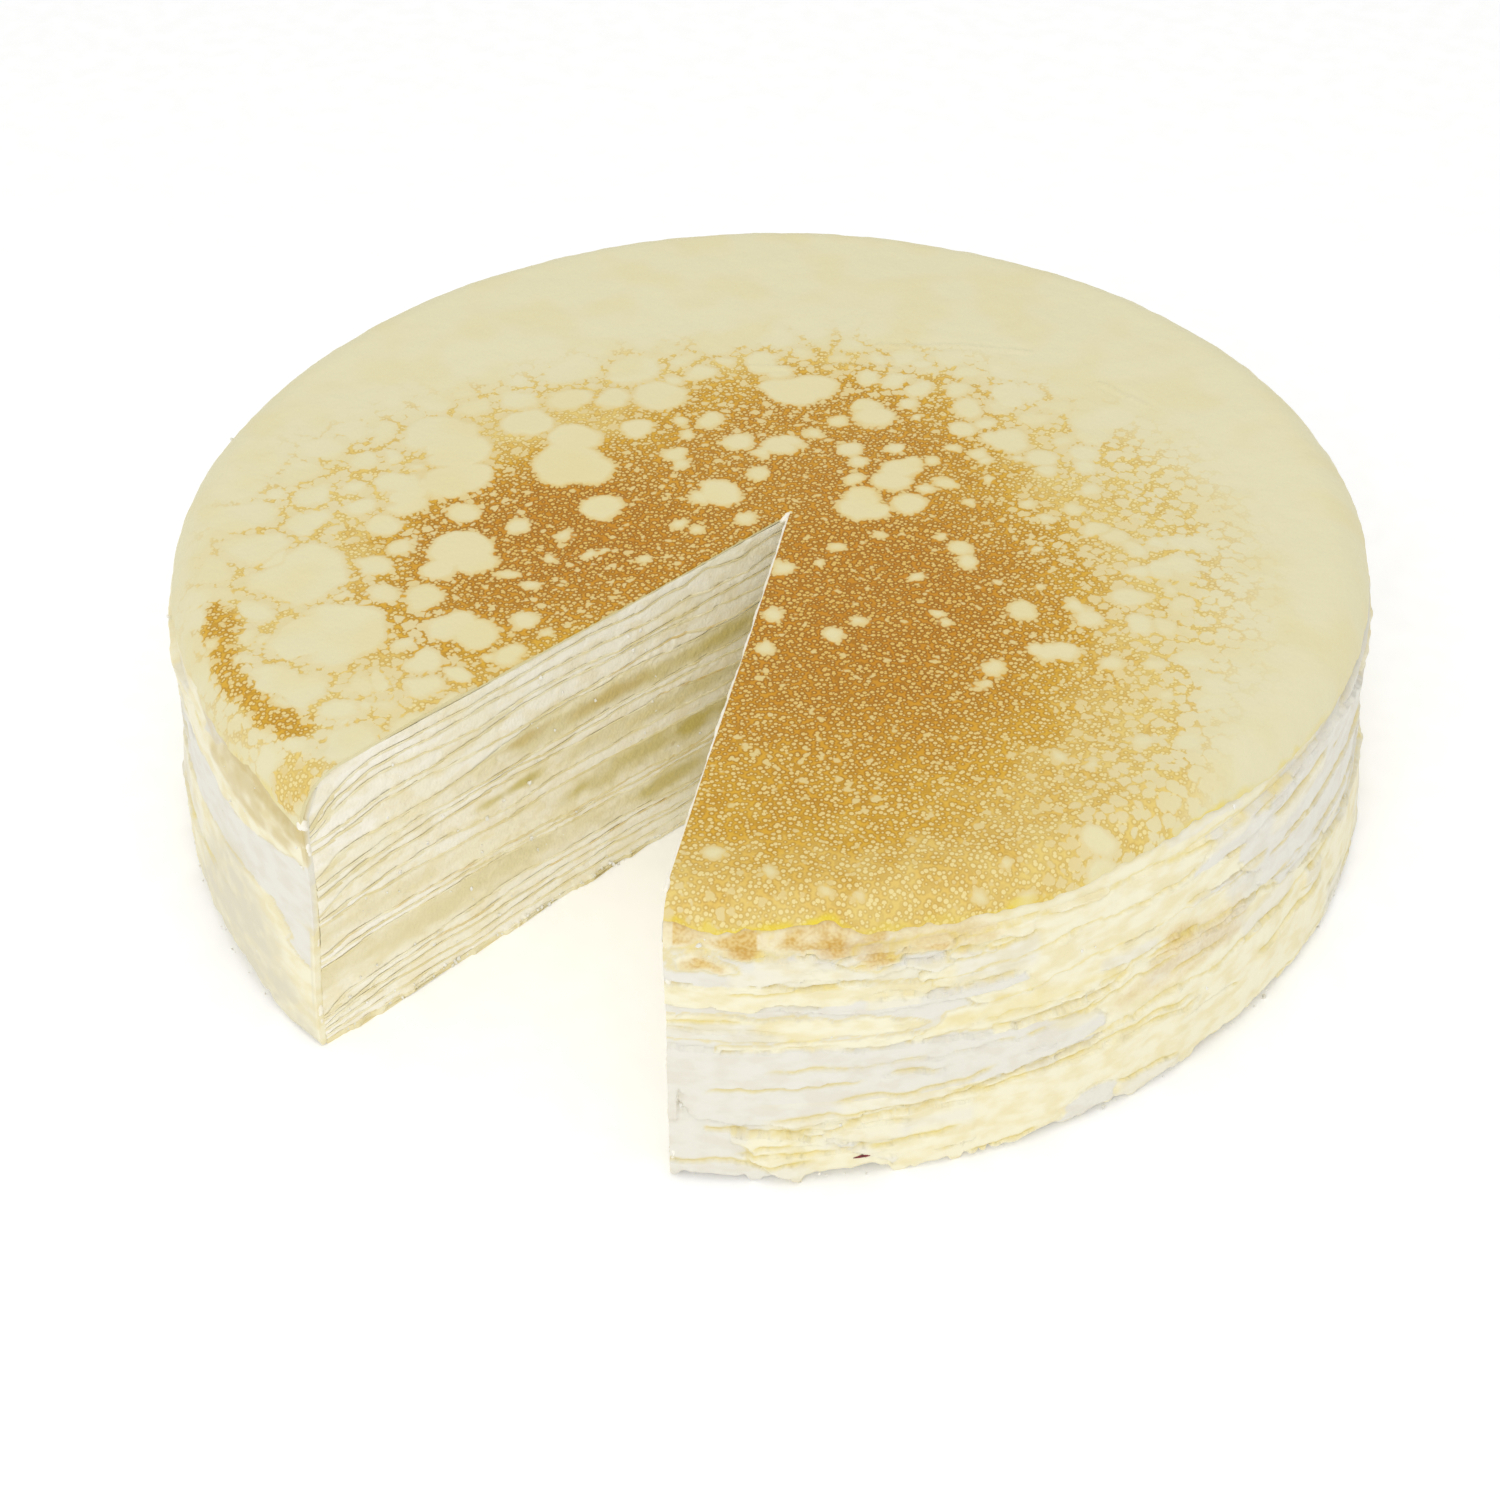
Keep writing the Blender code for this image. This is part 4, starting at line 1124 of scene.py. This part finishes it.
def makeCrumbs():
    # each crumb is a small ball of three rings and two poles whose vertices are pushed in and out
    chance = np.random.default_rng(bits["seed"])
    count = bits["crumbs"]
    level, turn = np.meshgrid([-50, 0, 50], np.arange(0, 360, 60), indexing="ij")
    ball = np.concatenate([heading(turn) * heading(level)[..., :1], heading(level)[..., 1:]], axis=-1)
    ball = np.vstack([ball.reshape(-1, 3), [[0, 0, -1], [0, 0, 1]]])
    small, large = bits["crumbSize"]
    size = small + (large - small) * chance.uniform(size=count) ** 2
    onCut = chance.uniform(size=count) < 0.45
    along, azimuth = chance.uniform(8, 103, count), chance.uniform(-70, 255, count)
    low = chance.uniform(size=count) < 0.45
    height = np.where(low, chance.uniform(0.2, 1.6, count), chance.uniform(2, 50, count))
    out = heading(cake["firstCut"] + 90)
    cutPlace = cutPoint + along[:, None] * firstDirection + out * chance.uniform(0.0, 0.35, count)[:, None]
    sidePlace = heading(azimuth) * (sideRadius(azimuth, height) + 0.35)[:, None]
    centre = np.column_stack([np.where(onCut[:, None], cutPlace, sidePlace), height])
    push = chance.uniform(0.6, 1.25, (count, 20, 1)) * chance.uniform(0.7, 1.3, (count, 1, 3))
    points = centre[:, None, :] + size[:, None, None] * ball * push
    points[..., 2] = np.maximum(points[..., 2], 0.02)
    steps = len(ball) * np.arange(count)[:, None, None]
    tables = [(table[None] + steps).reshape(-1, table.shape[1]) for table in tubeFaces(numbered(3, 6))]
    makePiece("crumbs", points.reshape(-1, 3), tables, cream)


def peelMaterial():
    # a scrap of dried berry peel: dark red, a little glossy, wrinkled
    material, add, shader, place = newMaterial("dried berry peel")
    wrinkles = add("TexNoise", {}, {"Vector": place, "Scale": 1 / 0.6, "Detail": 2.0})
    share = add("MapRange", smoothStep, {0: wrinkles, 1: 0.35, 2: 0.65})
    colour = add("Mix", colourMix, {0: share, 6: linear("#5e0d14"), 7: linear("#8d1f26")}, 2)
    feed(shader, {"Base Color": colour, "Roughness": 0.4})
    return material


def makeFleck():
    # a thin leaf, pointed at both ends, stuck flat to the foot of the side
    middle, height = bits["fleck"]
    halfLong, halfWide = bits["fleckHalf"]
    place = np.linspace(-1, 1, 15)[:, None]
    turn = np.linspace(0, 2 * math.pi, 8, endpoint=False)
    thick = halfWide * np.sqrt(1 - 0.97 * place ** 2) * (1 + 0.4 * softNoise(place * 10, 0, 2, 811))
    azimuth = middle + place * halfLong / perDegree
    radius = sideRadius(azimuth, np.full_like(azimuth, height)) + 0.75
    depth = radius + 0.35 * thick * np.cos(turn)
    up = height + 0.25 * place + thick * np.sin(turn)
    rings = np.concatenate([heading(azimuth) * depth[..., None], up[..., None]], axis=-1)
    makeTube("red_fleck", rings, peelMaterial())


makeBeads()
makeCrumbs()
makeFleck()
print("bead, crumbs and fleck placed")

# A plain pale floor, white all round, one large soft light overhead and two small ones from the front
studio = {
    "floor": ("#fefefe", "#fbfbfa"), "floorSize": 40.0, "glow": 0.13, "world": 0.70,
    # place in metres, size and power of each light
    "lights": (((0.1, -0.1, 1.5), 1.1, 3.1), ((0.12, -0.95, 0.80), 0.4, 2.3),
               ((0.42, -0.42, 0.95), 0.6, 0.9)),
    "lens": 60.26, "distance": 475.5, "azimuth": 299.4, "elevation": 39.37, "roll": -1.0,
    "shift": (-0.01497, -0.00465),
}


def makeFloor():
    # a sheet of matt white paper that glows faintly, so that the shadows on it stay pale
    material, add, shader, place = newMaterial("matt white paper")
    pulp = add("TexNoise", {}, {"Vector": place, "Scale": 1 / 6.0, "Detail": 1.0})
    share = add("MapRange", smoothStep, {0: pulp, 1: 0.3, 2: 0.7})
    light, dark = (linear(tone) for tone in studio["floor"])
    colour = add("Mix", colourMix, {0: share, 6: light, 7: dark}, 2)
    feed(shader, {"Base Color": colour, "Roughness": 0.8, "Emission Color": (1, 1, 1, 1),
                  "Emission Strength": studio["glow"]})
    material.cycles.emission_sampling = "NONE"
    half = studio["floorSize"] / 2
    corners = [(-half, -half, 0), (half, -half, 0), (half, half, 0), (-half, half, 0)]
    mesh = bpy.data.meshes.new("floor")
    mesh.from_pydata(corners, [], [(0, 1, 2, 3)])
    mesh.materials.append(material)
    floor = bpy.data.objects.new("floor", mesh)
    bpy.context.scene.collection.objects.link(floor)


def makeStudio():
    # the world, lights turned to the cake, and a camera that looks at the middle of its foot from its azimuth
    scene = bpy.context.scene
    world = bpy.data.worlds.new("white studio")
    world.use_nodes = True
    feed(world.node_tree.nodes["Background"], {"Color": (1, 1, 1, 1), "Strength": studio["world"]})
    scene.world = world
    for number, (place, size, power) in enumerate(studio["lights"]):
        lamp = bpy.data.lights.new(f"soft_light_{number}", "AREA")
        lamp.size, lamp.energy = size, power
        holder = bpy.data.objects.new(f"soft_light_{number}", lamp)
        aim = Vector(place).to_track_quat("Z", "Y").to_matrix().to_4x4()
        holder.matrix_world = Matrix.Translation(place) @ aim
        scene.collection.objects.link(holder)
    azimuth, elevation, roll = (math.radians(studio[key]) for key in ("azimuth", "elevation", "roll"))
    level = math.cos(elevation)
    back = Vector((level * math.cos(azimuth), level * math.sin(azimuth), math.sin(elevation)))
    right = Vector((0, 0, 1)).cross(back).normalized()
    up = back.cross(right)
    right, up = right * math.cos(roll) + up * math.sin(roll), up * math.cos(roll) - right * math.sin(roll)
    camera = bpy.data.objects.new("camera", bpy.data.cameras.new("camera"))
    camera.data.lens = studio["lens"]
    camera.data.shift_x, camera.data.shift_y = studio["shift"]
    camera.data.clip_start, camera.data.clip_end = 0.01, 100.0
    turned = Matrix((right, up, back)).transposed().to_4x4()
    camera.matrix_world = Matrix.Translation(back * studio["distance"] * mm) @ turned
    scene.collection.objects.link(camera)
    scene.camera = camera
    scene.view_settings.view_transform = "Standard"
    scene.cycles.max_bounces, scene.cycles.diffuse_bounces, scene.cycles.glossy_bounces = 4, 4, 1
    scene.cycles.use_light_tree = False                 # three lamps need no tree
    scene.cycles.debug_use_spatial_splits = True        # the layers' long thin faces trace faster when split


makeFloor()
makeStudio()
print("floor, lights and camera set")
